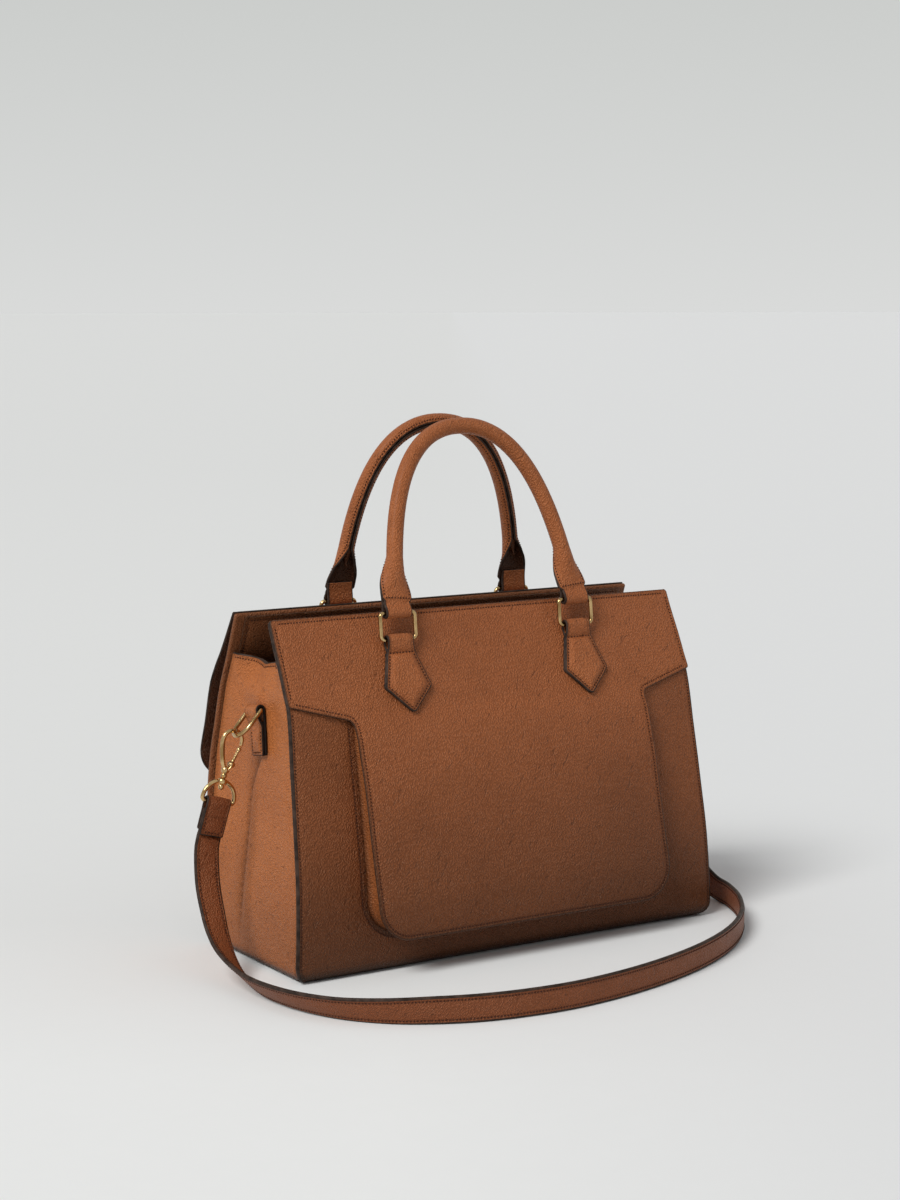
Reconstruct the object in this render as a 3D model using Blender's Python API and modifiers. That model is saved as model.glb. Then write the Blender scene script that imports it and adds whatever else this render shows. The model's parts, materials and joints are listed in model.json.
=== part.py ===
"""A structured leather satchel with two handles and a clip-on shoulder strap.

Metres, +Z up, +X to the bag's right as it is looked at from the front, -Y to the front.
The origin is the middle of the base, on the surface that the bag stands on.
"""

import math

import bmesh
import bpy
from mathutils import Matrix, Vector

# Overall sizes of the body
BODY_WIDTH = 0.360
BODY_HEIGHT = 0.245
BODY_DEPTH = 0.1364
BASE_CORNER_RADIUS = 0.008
FRONT_TOP_CORNER_RADIUS = 0.0025
BACK_TOP_CORNER_RADIUS = 0.005

# Height share and half width share of the body's sides
SIDE_TAPER_SHARES = ((0.0, 1.0), (0.763, 0.9567), (1.0, 0.9522))

# Height share and depth share of the outer faces, bottom to top
FRONT_FACE_SHARES = (
    (0.0, 0.5015), (0.078, 0.503), (0.241, 0.4875), (0.424, 0.44), (0.592, 0.3886),
    (0.767, 0.3292), (0.796, 0.3035), (0.869, 0.2412), (0.943, 0.1716), (1.0, 0.1239),
)
BACK_FACE_SHARES = (
    (0.0, 0.4985), (0.245, 0.5425), (0.465, 0.535), (0.555, 0.5205), (0.669, 0.473),
    (0.763, 0.4326), (0.8755, 0.3446), (1.0, 0.2566),
)

# Leather and other sheets
TOUCH_GAP = 0.0003
PANEL_THICKNESS = 0.0036
OVERLAY_THICKNESS = 0.0018
GUSSET_THICKNESS = 0.0020
LINING_THICKNESS = 0.0009
FACING_THICKNESS = 0.0014
BASE_THICKNESS = 0.0022
BOARD_THICKNESS = 0.0024
LINING_TOP_SHARE = 0.835
FACING_TOP_SHARE = 0.990
GUSSET_LINING_CLEARANCE = 0.0008

# Side gussets: the fold sinks inwards along the middle, flat where the tab is sewn
GUSSET_INSET = 0.003
GUSSET_TOP_SHARE = 0.882
GUSSET_TOP_DIP = 0.004
GUSSET_FOLD_DEPTH = 0.009
GUSSET_TAB_DEPTH_SHARE = 0.222
GUSSET_FOLD_FLAT_SHARE = 0.34
GUSSET_FOLD_END_SHARE = 0.87
# Height share and fold depth share
GUSSET_FOLD_SHARES = (
    (0.0, 0.0), (0.18, 0.0), (0.42, 0.30), (0.59, GUSSET_TAB_DEPTH_SHARE),
    (0.767, GUSSET_TAB_DEPTH_SHARE), (0.83, 0.72), (0.882, 1.0),
)
GUSSET_COLUMN_SHARES = (-1.0, -0.87, -0.605, -0.34, 0.0, 0.34, 0.605, 0.87, 1.0)

# Front pocket, one leather with the yoke above it
YOKE_SIDE_HEIGHT = 0.188
YOKE_INNER_HEIGHT = 0.175
POCKET_HALF_WIDTH = 0.125
POCKET_BOTTOM = 0.026
POCKET_CORNER_RADIUS = 0.025
POCKET_DEPTH = 0.0195
POCKET_EDGE_OVERHANG = 0.0015
POCKET_GUSSET_THICKNESS = 0.0016
# Share of the way from the yoke's side corners down to the pocket's bottom, and depth share
POCKET_DEPTH_SHARES = (
    (0.0, 0.0), (0.05, 0.06), (0.08, 0.14), (0.142, 0.35), (0.235, 0.47), (0.358, 0.60),
    (0.481, 0.66), (0.605, 0.72), (0.728, 0.80), (0.852, 0.95), (1.0, 1.0),
)

# Back yoke and the flap that hangs from it over the back pocket
FLAP_FOLD_HEIGHT = 0.173
FLAP_BOTTOM = 0.127
FLAP_CORNER_RADIUS = 0.014
FLAP_STAND_OFF = 0.0145
# Height share and stand-off share of the yoke's and flap's inner face
FLAP_STAND_OFF_SHARES = (
    (0.518, 0.84), (0.555, 0.90), (0.571, 0.93), (0.661, 0.86), (0.763, 0.86), (0.833, 0.70),
    (0.8755, 0.50), (0.943, 0.22), (1.0, 0.0),
)
BACK_POCKET_HALF_WIDTH = 0.118
BACK_POCKET_TOP = 0.164
BACK_POCKET_BOTTOM = 0.044
BACK_POCKET_CORNER_RADIUS = 0.020
BACK_POCKET_DEPTH = 0.008

# Magnetic snap inside the mouth
SNAP_RADIUS = 0.009
SNAP_THICKNESS = 0.0022
SNAP_BOSS_RADIUS = 0.0045
SNAP_BOSS_HEIGHT = 0.0014
SNAP_HEIGHT_SHARE = 0.915

# Wire and the folded leather that runs round it
WIRE_DIAMETER = 0.003
WIRE_CLEARANCE = 0.0004
FOLD_LEATHER_THICKNESS = 0.0016

# Rectangular rings that carry the handles
RING_WIDTH = 0.0285
RING_HEIGHT = 0.0190
RING_CORNER_RADIUS = 0.0032
RING_LOWER_BAR_HEIGHT = 0.227
RING_STAND_OFF = 0.0054
FRONT_RING_LEAN = math.radians(6.0)
BACK_RING_LEAN = math.radians(7.0)

# Pentagonal handle tabs
TAB_SPACING = 0.153
TAB_TOP = 0.221
TAB_WIDEST = 0.195
TAB_TIP = 0.178
TAB_HALF_WIDTH = 0.019
TAB_TIP_HALF_WIDTH = 0.0008
TAB_NECK_WIDENING = 0.001
TAB_THICKNESS = 0.0032

# Handles
HANDLE_DIAMETER = 0.0124
HANDLE_ARCH_HEIGHT = 0.133
HANDLE_ARCH_EXPONENT = 2.18
HANDLE_BULGE_SHARE = -0.034
FRONT_HANDLE_LEAN = math.radians(16.3)
BACK_HANDLE_LEAN = math.radians(11.7)
BACK_HANDLE_SIDE_LEAN_SHARE = -0.053
HANDLE_STRIP_THICKNESS = 0.0046
HANDLE_SHOULDER_WIDTH = 0.0258
HANDLE_SHOULDER_HEIGHT = 0.041
# Share of the shoulder's height, and how much of strip, shoulder and tube shows there
HANDLE_END_SHARES = (
    (0.0, 1.0, 0.0), (0.38, 1.0, 0.0), (0.46, 0.9, 1.0), (0.58, 0.62, 1.0), (0.80, 0.22, 0.30),
    (1.0, 0.0, 0.0),
)
HANDLE_SECTION_SIDES = 12
# How square a section is: 2 is an ellipse
HANDLE_ROUND_POWER = 2
HANDLE_STRIP_POWER = 5
HANDLE_ARCH_STEPS = 28

# Side tabs and their D-rings
SIDE_TAB_PLACE = 0.004
SIDE_TAB_TOP_WIDTH = 0.016
SIDE_TAB_BOTTOM_WIDTH = 0.022
SIDE_TAB_THICKNESS = 0.0048
SIDE_TAB_BOTTOM = 0.151
D_RING_BAR_HEIGHT = 0.180
D_RING_WIDTH = 0.019
D_RING_LENGTH = 0.023
D_RING_CORNER_RADIUS = 0.0012
D_RING_HANG_ANGLE = math.radians(44)

# Snap hooks, along their own axis from the bar in the strap's end
D_BASE_WIDTH = 0.025
D_BASE_HEIGHT = 0.015
D_BASE_CORNER_RADIUS = 0.0025
COLLAR_RADIUS = 0.0033
COLLAR_HEIGHT = 0.0036
SWIVEL_PIN_RADIUS = 0.00115
SWIVEL_CLEARANCE = 0.00035
BEAD_RADIUS = 0.0022
BEAD_END_ANGLE = math.radians(60)
BEAD_WAIST_ANGLE = math.radians(25)
HUB_RADIUS = 0.0029
HUB_HEIGHT = 0.023
CLAW_WIRE_RADIUS = 0.0016
CLAW_HALF_WIDTH = 0.0077
CLAW_HEIGHT = 0.0283
# Share of the claw's half width, and of its height above the hub's middle
CLAW_SHARES = (
    (-0.10, 0.03), (-0.60, 0.14), (-0.88, 0.29), (-1.0, 0.50), (-1.0, 0.71), (-0.83, 0.865),
    (-0.43, 0.965), (0.07, 1.0), (0.55, 0.96), (0.86, 0.86), (0.96, 0.76), (0.96, 0.655),
)
GATE_RADIUS = 0.00115
GATE_PIVOT_SHARES = (0.44, 0.16)
GATE_EYE_RADIUS = 0.0019
GATE_EYE_WIDTH = 0.0024
GATE_PIN_RADIUS = 0.0006
GATE_PIN_CLEARANCE = 0.00025
GATE_CHEEK_THICKNESS = 0.0011
GATE_KNOB_RADIUS = 0.0014
GATE_KNOB_PLACE_SHARE = 0.80
GATE_TIP_SHARE = 0.25
GATE_ARM_FOOT_SHARE = 0.25
HOOK_SEAT_GAP = 0.0004
HOOK_RING_PLACE_SHARE = 0.08
STRAP_BAR_OUT = 0.0128
STRAP_BAR_BACK = 0.0014

# Shoulder strap
STRAP_WIDTH = 0.019
STRAP_THICKNESS = 0.003
STRAP_END_LENGTH = 0.024
STRAP_END_THICKNESS = 0.0052
STRAP_FLOOR_CLEARANCE = 0.0002
STRAP_STEPS = 74
STRAP_HALF_WIDTH = STRAP_WIDTH / 2
STRAP_LYING = STRAP_HALF_WIDTH + STRAP_FLOOR_CLEARANCE

# The strap's route: it hangs from the left clip, stands on edge along the floor in front of the
# bag, and climbs to the right clip. Each point is x, y, z and the turn of its width, from 0 where
# the width lies outwards at the left, to 1 where it stands up, to 2 where it lies outwards at the right.
STRAP_ROUTE = (
    (-0.2096, 0.0056, 0.0860, 0.00), (-0.2106, 0.0032, 0.0740, 0.02), (-0.2112, -0.0015, 0.0600, 0.08),
    (-0.2118, -0.0090, 0.0450, 0.22), (-0.2123, -0.0200, 0.0305, 0.45), (-0.2130, -0.0360, 0.0185, 0.72),
    (-0.2138, -0.0570, 0.0118, 0.92), (-0.2136, -0.0800, STRAP_LYING, 1.00),
    (-0.2110, -0.1070, STRAP_LYING, 1.00), (-0.2030, -0.1320, STRAP_LYING, 1.00),
    (-0.1890, -0.1550, STRAP_LYING, 1.00), (-0.1690, -0.1750, STRAP_LYING, 1.00),
    (-0.1450, -0.1900, STRAP_LYING, 1.00), (-0.1180, -0.2015, STRAP_LYING, 1.00),
    (-0.0870, -0.2085, STRAP_LYING, 1.00), (-0.0490, -0.2112, STRAP_LYING, 1.00),
    (-0.0050, -0.2065, STRAP_LYING, 1.00), (0.0410, -0.1955, STRAP_LYING, 1.00),
    (0.0870, -0.1780, STRAP_LYING, 1.00), (0.1280, -0.1540, STRAP_LYING, 1.00),
    (0.1610, -0.1240, STRAP_LYING, 1.00), (0.1850, -0.0900, STRAP_LYING, 1.00),
    (0.2000, -0.0560, 0.0112, 1.05), (0.2075, -0.0290, 0.0180, 1.25), (0.2110, -0.0105, 0.0310, 1.52),
    (0.2120, -0.0005, 0.0460, 1.76), (0.2118, 0.0035, 0.0610, 1.92), (0.2108, 0.0052, 0.0745, 1.98),
    (0.2096, 0.0058, 0.0860, 2.00),
)

# How fine round pieces are
WIRE_SIDES_RESOLUTION = 2
SLEEVE_SIDES = 16
TURNED_SIDES = 10
CORNER_STEPS = 3
CUT_OVERRUN = 0.001
WELD_DISTANCE = 0.00001
SHARP_ANGLE = math.radians(40)
HANDLE_SHARP_ANGLE = math.radians(60)
POCKET_CORNER_STEPS = 6
D_BOW_STEPS = 12
CURVE_PARTS = 24
SEARCH_ROUNDS = 40
HEIGHT_DECIMALS = 6

WIRE_RADIUS = WIRE_DIAMETER / 2
HALF_WIDTH = BODY_WIDTH / 2
HANDLE_HALF_SPAN = TAB_SPACING / 2
SLEEVE_INNER_RADIUS = WIRE_RADIUS + WIRE_CLEARANCE
SLEEVE_RADIUS = SLEEVE_INNER_RADIUS + FOLD_LEATHER_THICKNESS
RING_STRIP_WIDTH = RING_WIDTH - 2 * RING_CORNER_RADIUS - 2 * WIRE_CLEARANCE
LINING_TOP = LINING_TOP_SHARE * BODY_HEIGHT
FACING_TOP = FACING_TOP_SHARE * BODY_HEIGHT
FLOOR_STACK = BASE_THICKNESS + BOARD_THICKNESS + LINING_THICKNESS + 3 * TOUCH_GAP


# Scene, materials and objects


def clear_scene():
    for item in list(bpy.data.objects):
        bpy.data.objects.remove(item)


def collection(name, hidden=False):
    made = bpy.data.collections.new(name)
    made.hide_render = hidden
    bpy.context.scene.collection.children.link(made)
    return made


def material(name, colour, roughness, metallic=0.0):
    made = bpy.data.materials.new(name)
    made.use_nodes = True
    shader = made.node_tree.nodes["Principled BSDF"]
    shader.inputs["Base Color"].default_value = (*colour, 1.0)
    shader.inputs["Roughness"].default_value = roughness
    shader.inputs["Metallic"].default_value = metallic
    made.diffuse_color = (*colour, 1.0)
    return made


LEATHER = ((0.205, 0.068, 0.024), 0.55)
LIGHT_LEATHER = ((0.345, 0.125, 0.040), 0.52)
DARK_LEATHER = ((0.120, 0.040, 0.016), 0.60)
INNER_LEATHER = ((0.055, 0.022, 0.009), 0.75)
LINING_CLOTH = ((0.060, 0.040, 0.028), 0.90)
BOARD = ((0.180, 0.150, 0.110), 0.90)
PALE_GOLD = ((0.760, 0.600, 0.360), 0.25, 1.0)


def put(name, mesh, finish, parent=None):
    """An object for one sub-part, with a material of its own."""
    item = bpy.data.objects.new(name, mesh)
    mesh.materials.clear()
    mesh.materials.append(material(name + "_finish", *finish))
    PARTS.objects.link(item)
    item.parent = parent
    return item


def tool(name, mesh):
    """A guide or cutter, which isn't part of the bag."""
    item = bpy.data.objects.new(name, mesh)
    item.hide_render = True
    item.display_type = "WIRE"
    CUTTERS.objects.link(item)
    return item


def empty(name, place, turn=None, parent=None):
    item = bpy.data.objects.new(name, None)
    PARTS.objects.link(item)
    item.matrix_world = Matrix.Translation(place) @ (turn or Matrix.Identity(4))
    if parent:
        item.parent = parent
        item.matrix_parent_inverse = parent.matrix_world.inverted()
    return item


def join_to(item, operation, *others):
    for other in others:
        step = item.modifiers.new(operation.lower() + "_" + other.name, "BOOLEAN")
        step.operation = operation
        step.object = other
        step.solver = "EXACT"


def smooth(mesh, angle=SHARP_ANGLE):
    mesh.shade_smooth()
    mesh.set_sharp_from_angle(angle=angle)


def finished(bm, name):
    mesh = bpy.data.meshes.new(name)
    bm.to_mesh(mesh)
    bm.free()
    return mesh


# Reading a table of points


def read(table, at):
    """The value of a table of (place, value) at a place, straight between its points."""
    low = table[0]
    for high in table[1:]:
        if at <= high[0]:
            return low[1] + (high[1] - low[1]) * (at - low[0]) / (high[0] - low[0])
        low = high
    return table[-1][1]


def offset_line(points, distance):
    """A line of (z, y) moved square to itself, towards +y where the distance is positive."""
    moved = []
    for i, (z, y) in enumerate(points):
        sides = []
        for a, b in ((i - 1, i), (i, i + 1)):
            if a >= 0 and b < len(points):
                dz, dy = points[b][0] - points[a][0], points[b][1] - points[a][1]
                length = math.hypot(dz, dy)
                sides.append((-dy / length, dz / length))
        nz = sum(side[0] for side in sides)
        ny = sum(side[1] for side in sides)
        size = math.hypot(nz, ny)
        nz, ny = nz / size, ny / size
        reach = distance / (nz * sides[0][0] + ny * sides[0][1])
        moved.append((z + nz * reach, y + ny * reach))
    return tuple(moved)


def face_line(shares, side):
    return tuple((h * BODY_HEIGHT, side * d * BODY_DEPTH) for h, d in shares)


FRONT_LINE = face_line(FRONT_FACE_SHARES, -1)
BACK_LINE = face_line(BACK_FACE_SHARES, 1)
FRONT_INNER_LINE = offset_line(FRONT_LINE, PANEL_THICKNESS + TOUCH_GAP)
BACK_INNER_LINE = offset_line(BACK_LINE, -PANEL_THICKNESS - TOUCH_GAP)


def corner_inset(distance, radius):
    """How far a rounded corner draws an edge in, at a distance from the end of that edge."""
    if distance >= radius:
        return 0.0
    return radius - math.sqrt(max(0.0, radius ** 2 - (radius - distance) ** 2))


def corner_places(start, radius, direction=1):
    """The places, from an edge's end, at which a rounded corner is divided."""
    steps = (math.radians(90) * i / CORNER_STEPS for i in range(CORNER_STEPS + 1))
    return [start + direction * radius * (1 - math.cos(step)) for step in steps]


def side_width(z):
    """Half of the body's width at a height, with the base's rounded corner."""
    taper = read(SIDE_TAPER_SHARES, z / BODY_HEIGHT) * HALF_WIDTH
    return taper - corner_inset(z, BASE_CORNER_RADIUS)


def heights(bottom, top, *lists):
    """The heights of all lists that lie between bottom and top, with both ends."""
    found = {round(bottom, HEIGHT_DECIMALS), round(top, HEIGHT_DECIMALS)}
    for places in lists:
        found |= {round(z, HEIGHT_DECIMALS) for z in places if bottom < z < top}
    kept = []
    for z in sorted(found):
        if not kept or z - kept[-1] > TOUCH_GAP:
            kept.append(z)
    kept[-1] = top
    return kept


def line_heights(line):
    return [z for z, _ in line]


# Sheets


def sheet(name, columns, rows, place, thickness, finish, grow=-1.0, parent=None):
    """A leather or cloth sheet: an open grid laid along a form, then given its thickness."""
    bm = bmesh.new()
    bmesh.ops.create_grid(bm, x_segments=len(columns) - 1, y_segments=len(rows) - 1, size=1.0)
    for vert in bm.verts:
        column = columns[round((vert.co.x + 1) / 2 * (len(columns) - 1))]
        row = rows[round((vert.co.y + 1) / 2 * (len(rows) - 1))]
        vert.co = place(column, row)
    mesh = finished(bm, name)
    item = put(name, mesh, finish, parent)
    thick = item.modifiers.new("thickness", "SOLIDIFY")
    thick.thickness = thickness
    thick.offset = grow
    thick.use_even_offset = True
    return item


def across(width, depth, side=1):
    """Places a sheet that spans the bag: u runs from -1 to 1 across it, z up it."""
    return lambda u, z: Vector((side * u * width(z), depth(z), z))


def body_panel(name, line, side, top_radius, finish):
    top = BODY_HEIGHT

    def width(z):
        return side_width(z) - corner_inset(top - z, top_radius)

    rows = heights(
        0.0, top, line_heights(line), corner_places(0.0, BASE_CORNER_RADIUS),
        corner_places(top, top_radius, -1), line_heights(((z * top, 0) for z, _ in SIDE_TAPER_SHARES)),
    )
    place = across(width, lambda z: read(line, z), side)
    return sheet(name, (-1, 0, 1), rows, place, PANEL_THICKNESS, finish)


def lining_width(z):
    layers = GUSSET_THICKNESS + GUSSET_LINING_CLEARANCE + LINING_THICKNESS + TOUCH_GAP
    return side_width(z) - GUSSET_INSET - layers - TOUCH_GAP


def inner_sheet(name, line, side, bottom, top, thickness, finish):
    """A lining or facing on the inside of a panel."""
    rows = heights(bottom, top, line_heights(line))
    return sheet(
        name, (-1, 0, 1), rows, across(lining_width, lambda z: read(line, z), side), thickness, finish,
    )


def gusset_fold(v, z):
    """How far the fold sinks in, v being -1 at the front edge and 1 at the back edge."""
    depth = GUSSET_FOLD_DEPTH * read(GUSSET_FOLD_SHARES, z / BODY_HEIGHT)
    middle = fold_middle(z)
    reach = (v - middle) / (1 - middle if v > middle else 1 + middle)
    slope = (abs(reach) - GUSSET_FOLD_FLAT_SHARE) / (GUSSET_FOLD_END_SHARE - GUSSET_FOLD_FLAT_SHARE)
    return depth * (1 + math.cos(math.pi * min(1.0, max(0.0, slope)))) / 2


def gusset_ends(z):
    return read(FRONT_INNER_LINE, z), read(BACK_INNER_LINE, z)


def fold_middle(z):
    front, back = gusset_ends(z)
    return (2 * SIDE_TAB_PLACE - front - back) / (back - front)


def gusset_point(side, inward):
    """Places a gusset: v runs from the front edge to the back edge, along the side that faces out."""
    def place(u, z):
        v = u * side
        front, back = gusset_ends(z)
        middle = fold_middle(z)
        spread = middle + v * (1 - middle if v > 0 else 1 + middle)
        y = (front + back) / 2 + spread * (back - front) / 2
        dip = GUSSET_TOP_DIP * (1 - abs(v)) ** 2 if z > GUSSET_TOP_SHARE * BODY_HEIGHT - TOUCH_GAP else 0.0
        x = side_width(z) - GUSSET_INSET - inward - gusset_fold(spread, z)
        return Vector((side * x, y, z - dip))
    return place


def gusset(name, side, bottom, inward, thickness, finish):
    top = GUSSET_TOP_SHARE * BODY_HEIGHT
    folds = [share * BODY_HEIGHT for share, _ in GUSSET_FOLD_SHARES]
    rows = heights(
        bottom, top, line_heights(FRONT_INNER_LINE), line_heights(BACK_INNER_LINE), folds,
        corner_places(0.0, BASE_CORNER_RADIUS),
    )
    return sheet(name, GUSSET_COLUMN_SHARES, rows, gusset_point(side, inward), thickness, finish)


def base_sheet(name, bottom, thickness, finish):
    """A flat sheet in the bottom of the bag."""
    def half_length(_):
        return HALF_WIDTH - BASE_CORNER_RADIUS - GUSSET_INSET - 3 * TOUCH_GAP

    front = max(y for z, y in FRONT_INNER_LINE[:2]) + TOUCH_GAP
    back = min(y for z, y in BACK_INNER_LINE[:2]) - TOUCH_GAP
    return sheet(
        name, (-1, 1), (front, back), lambda u, y: Vector((u * half_length(y), y, bottom)), thickness,
        finish, grow=1.0,
    )


# Front pocket and yoke


def pocket_depth(z):
    down = (YOKE_SIDE_HEIGHT - z) / (YOKE_SIDE_HEIGHT - POCKET_BOTTOM)
    return POCKET_DEPTH * read(POCKET_DEPTH_SHARES, max(0.0, down))


FRONT_SEAT_LINE = offset_line(FRONT_LINE, -TOUCH_GAP)
OVERLAY_HEIGHTS = heights(
    POCKET_BOTTOM, BODY_HEIGHT, [z for z, _ in FRONT_SEAT_LINE if z > YOKE_SIDE_HEIGHT],
    [YOKE_SIDE_HEIGHT, YOKE_INNER_HEIGHT], corner_places(POCKET_BOTTOM, POCKET_CORNER_RADIUS),
    [YOKE_SIDE_HEIGHT - share * (YOKE_SIDE_HEIGHT - POCKET_BOTTOM) for share, _ in POCKET_DEPTH_SHARES],
    corner_places(BODY_HEIGHT, FRONT_TOP_CORNER_RADIUS, -1),
)
OVERLAY_INNER_LINE = tuple((z, read(FRONT_SEAT_LINE, z) - pocket_depth(z)) for z in OVERLAY_HEIGHTS)
OVERLAY_OUTER_LINE = offset_line(OVERLAY_INNER_LINE, -OVERLAY_THICKNESS)


def overlay_width(z):
    if z >= YOKE_SIDE_HEIGHT:
        return side_width(z) - corner_inset(BODY_HEIGHT - z, FRONT_TOP_CORNER_RADIUS)
    if z > YOKE_INNER_HEIGHT:
        share = (z - YOKE_INNER_HEIGHT) / (YOKE_SIDE_HEIGHT - YOKE_INNER_HEIGHT)
        return POCKET_HALF_WIDTH + share * (side_width(YOKE_SIDE_HEIGHT) - POCKET_HALF_WIDTH)
    return POCKET_HALF_WIDTH - corner_inset(z - POCKET_BOTTOM, POCKET_CORNER_RADIUS)


def front_overlay():
    return sheet(
        "front_overlay", (-1, 0, 1), OVERLAY_HEIGHTS,
        across(overlay_width, lambda z: read(OVERLAY_INNER_LINE, z)), OVERLAY_THICKNESS, LEATHER, grow=1.0,
    )


def pocket_path(half_width, bottom, top, radius, extra):
    """Points (x, z) down the left side of a pocket, along its bottom and up the right side."""
    left = [(-half_width, z) for z in reversed(heights(bottom + radius, top, extra))]
    corner = []
    for i in range(1, POCKET_CORNER_STEPS + 1):
        turn = math.radians(90) * i / POCKET_CORNER_STEPS
        across_corner = half_width - radius * (1 - math.cos(turn))
        corner.append((-across_corner, bottom + radius * (1 - math.sin(turn))))
    half = left + corner
    return half + [(-x, z) for x, z in reversed(half)]


def pocket_gusset(name, path, near, far, side, finish):
    """The strip round a pocket's sides and bottom, from the panel (near) to the pocket's front (far)."""
    def place(i, depth):
        x, z = path[int(i)]
        return Vector((side * x, near(z) if depth == 0 else far(z), z))

    return sheet(name, tuple(range(len(path))), (0, 1), place, POCKET_GUSSET_THICKNESS, finish)


def front_pocket_gusset():
    inset = POCKET_EDGE_OVERHANG
    start = YOKE_INNER_HEIGHT - TOUCH_GAP
    path = pocket_path(
        POCKET_HALF_WIDTH - inset, POCKET_BOTTOM + inset, start, POCKET_CORNER_RADIUS - inset,
        OVERLAY_HEIGHTS + line_heights(FRONT_SEAT_LINE),
    )
    return pocket_gusset(
        "front_pocket_gusset", path, lambda z: read(FRONT_SEAT_LINE, z),
        lambda z: read(OVERLAY_INNER_LINE, z) + TOUCH_GAP, 1, LIGHT_LEATHER,
    )


# Back yoke, flap and pocket

BACK_SEAT_LINE = offset_line(BACK_LINE, TOUCH_GAP)


def back_inner(z):
    """The inner face of the yoke and the flap."""
    return read(BACK_SEAT_LINE, z) + FLAP_STAND_OFF * read(FLAP_STAND_OFF_SHARES, z / BODY_HEIGHT)


FLAP_HEIGHTS = [share * BODY_HEIGHT for share, _ in FLAP_STAND_OFF_SHARES]
YOKE_HEIGHTS = heights(
    FLAP_FOLD_HEIGHT + TOUCH_GAP, BODY_HEIGHT, FLAP_HEIGHTS, line_heights(BACK_SEAT_LINE),
    corner_places(BODY_HEIGHT, BACK_TOP_CORNER_RADIUS, -1),
)
YOKE_OUTER_LINE = offset_line([(z, back_inner(z)) for z in YOKE_HEIGHTS], OVERLAY_THICKNESS)


def yoke_width(z):
    return side_width(z) - corner_inset(BODY_HEIGHT - z, BACK_TOP_CORNER_RADIUS)


def back_yoke():
    place = across(yoke_width, back_inner, -1)
    return sheet("back_yoke", (-1, 0, 1), YOKE_HEIGHTS, place, OVERLAY_THICKNESS, LEATHER, grow=1.0)


def flap_hinge():
    """The flap's fold: along the outer face of its upper edge."""
    return Vector((0, read(YOKE_OUTER_LINE, FLAP_FOLD_HEIGHT + TOUCH_GAP), FLAP_FOLD_HEIGHT))


def back_flap():
    pivot = flap_hinge()
    hinge = empty("back_flap_hinge", pivot)
    rows = heights(
        FLAP_BOTTOM, FLAP_FOLD_HEIGHT, FLAP_HEIGHTS, line_heights(BACK_SEAT_LINE),
        corner_places(FLAP_BOTTOM, FLAP_CORNER_RADIUS),
    )

    def width(z):
        return side_width(z) - corner_inset(z - FLAP_BOTTOM, FLAP_CORNER_RADIUS)

    place = across(width, back_inner, -1)
    return sheet(
        "back_flap", (-1, 0, 1), rows, lambda u, z: place(u, z) - pivot, OVERLAY_THICKNESS, LEATHER,
        grow=1.0, parent=hinge,
    )


BACK_POCKET_HEIGHTS = heights(
    BACK_POCKET_BOTTOM, BACK_POCKET_TOP, line_heights(BACK_SEAT_LINE),
    corner_places(BACK_POCKET_BOTTOM, BACK_POCKET_CORNER_RADIUS),
)
BACK_POCKET_LINE = tuple((z, read(BACK_SEAT_LINE, z) + BACK_POCKET_DEPTH) for z in BACK_POCKET_HEIGHTS)


def back_pocket():
    def width(z):
        return BACK_POCKET_HALF_WIDTH - corner_inset(z - BACK_POCKET_BOTTOM, BACK_POCKET_CORNER_RADIUS)

    place = across(width, lambda z: read(BACK_POCKET_LINE, z), -1)
    return sheet("back_pocket", (-1, 0, 1), BACK_POCKET_HEIGHTS, place, OVERLAY_THICKNESS, LEATHER, grow=1.0)


def back_pocket_gusset():
    inset = POCKET_EDGE_OVERHANG
    path = pocket_path(
        BACK_POCKET_HALF_WIDTH - inset, BACK_POCKET_BOTTOM + inset, BACK_POCKET_TOP - TOUCH_GAP,
        BACK_POCKET_CORNER_RADIUS - inset, BACK_POCKET_HEIGHTS,
    )
    return pocket_gusset(
        "back_pocket_gusset", path, lambda z: read(BACK_SEAT_LINE, z),
        lambda z: read(BACK_POCKET_LINE, z) - TOUCH_GAP, -1, DARK_LEATHER,
    )


# Turned pieces, tubes and wires


def turned(profile, name, place, axis, sides=TURNED_SIDES, closed=False):
    """A body of revolution from a profile of (radius, distance along the axis).

    The profile ends on the axis, or is closed where the body is hollow.
    """
    bm = bmesh.new()
    verts = [bm.verts.new((radius, 0, along)) for radius, along in profile]
    for first, second in zip(verts, verts[1:] + verts[:1] if closed else verts[1:]):
        bm.edges.new((first, second))
    bmesh.ops.spin(
        bm, geom=bm.verts[:] + bm.edges[:], cent=(0, 0, 0), axis=(0, 0, 1),
        angle=math.radians(360), steps=sides, use_merge=True, use_duplicate=False,
    )
    bmesh.ops.remove_doubles(bm, verts=bm.verts[:], dist=WELD_DISTANCE)
    bmesh.ops.recalc_face_normals(bm, faces=bm.faces[:])
    turn = Vector((0, 0, 1)).rotation_difference(axis).to_matrix().to_4x4()
    bm.transform(Matrix.Translation(place) @ turn)
    mesh = finished(bm, name)
    smooth(mesh)
    return mesh


def tube_ring(outer, inner, length, name, place, axis, sides=SLEEVE_SIDES):
    """A hollow cylinder: the leather that runs round a bar, or an eye."""
    half = length / 2
    profile = ((outer, -half), (outer, half), (inner, half), (inner, -half))
    return turned(profile, name, place, axis, sides, closed=True)


def cylinder(radius, start, end, name, sides=SLEEVE_SIDES):
    along = end - start
    bm = bmesh.new()
    bmesh.ops.create_cone(
        bm, cap_ends=True, segments=sides, radius1=radius, radius2=radius, depth=along.length,
    )
    turn = Vector((0, 0, 1)).rotation_difference(along).to_matrix().to_4x4()
    bm.transform(Matrix.Translation((start + end) / 2) @ turn)
    mesh = finished(bm, name)
    smooth(mesh)
    return mesh


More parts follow.
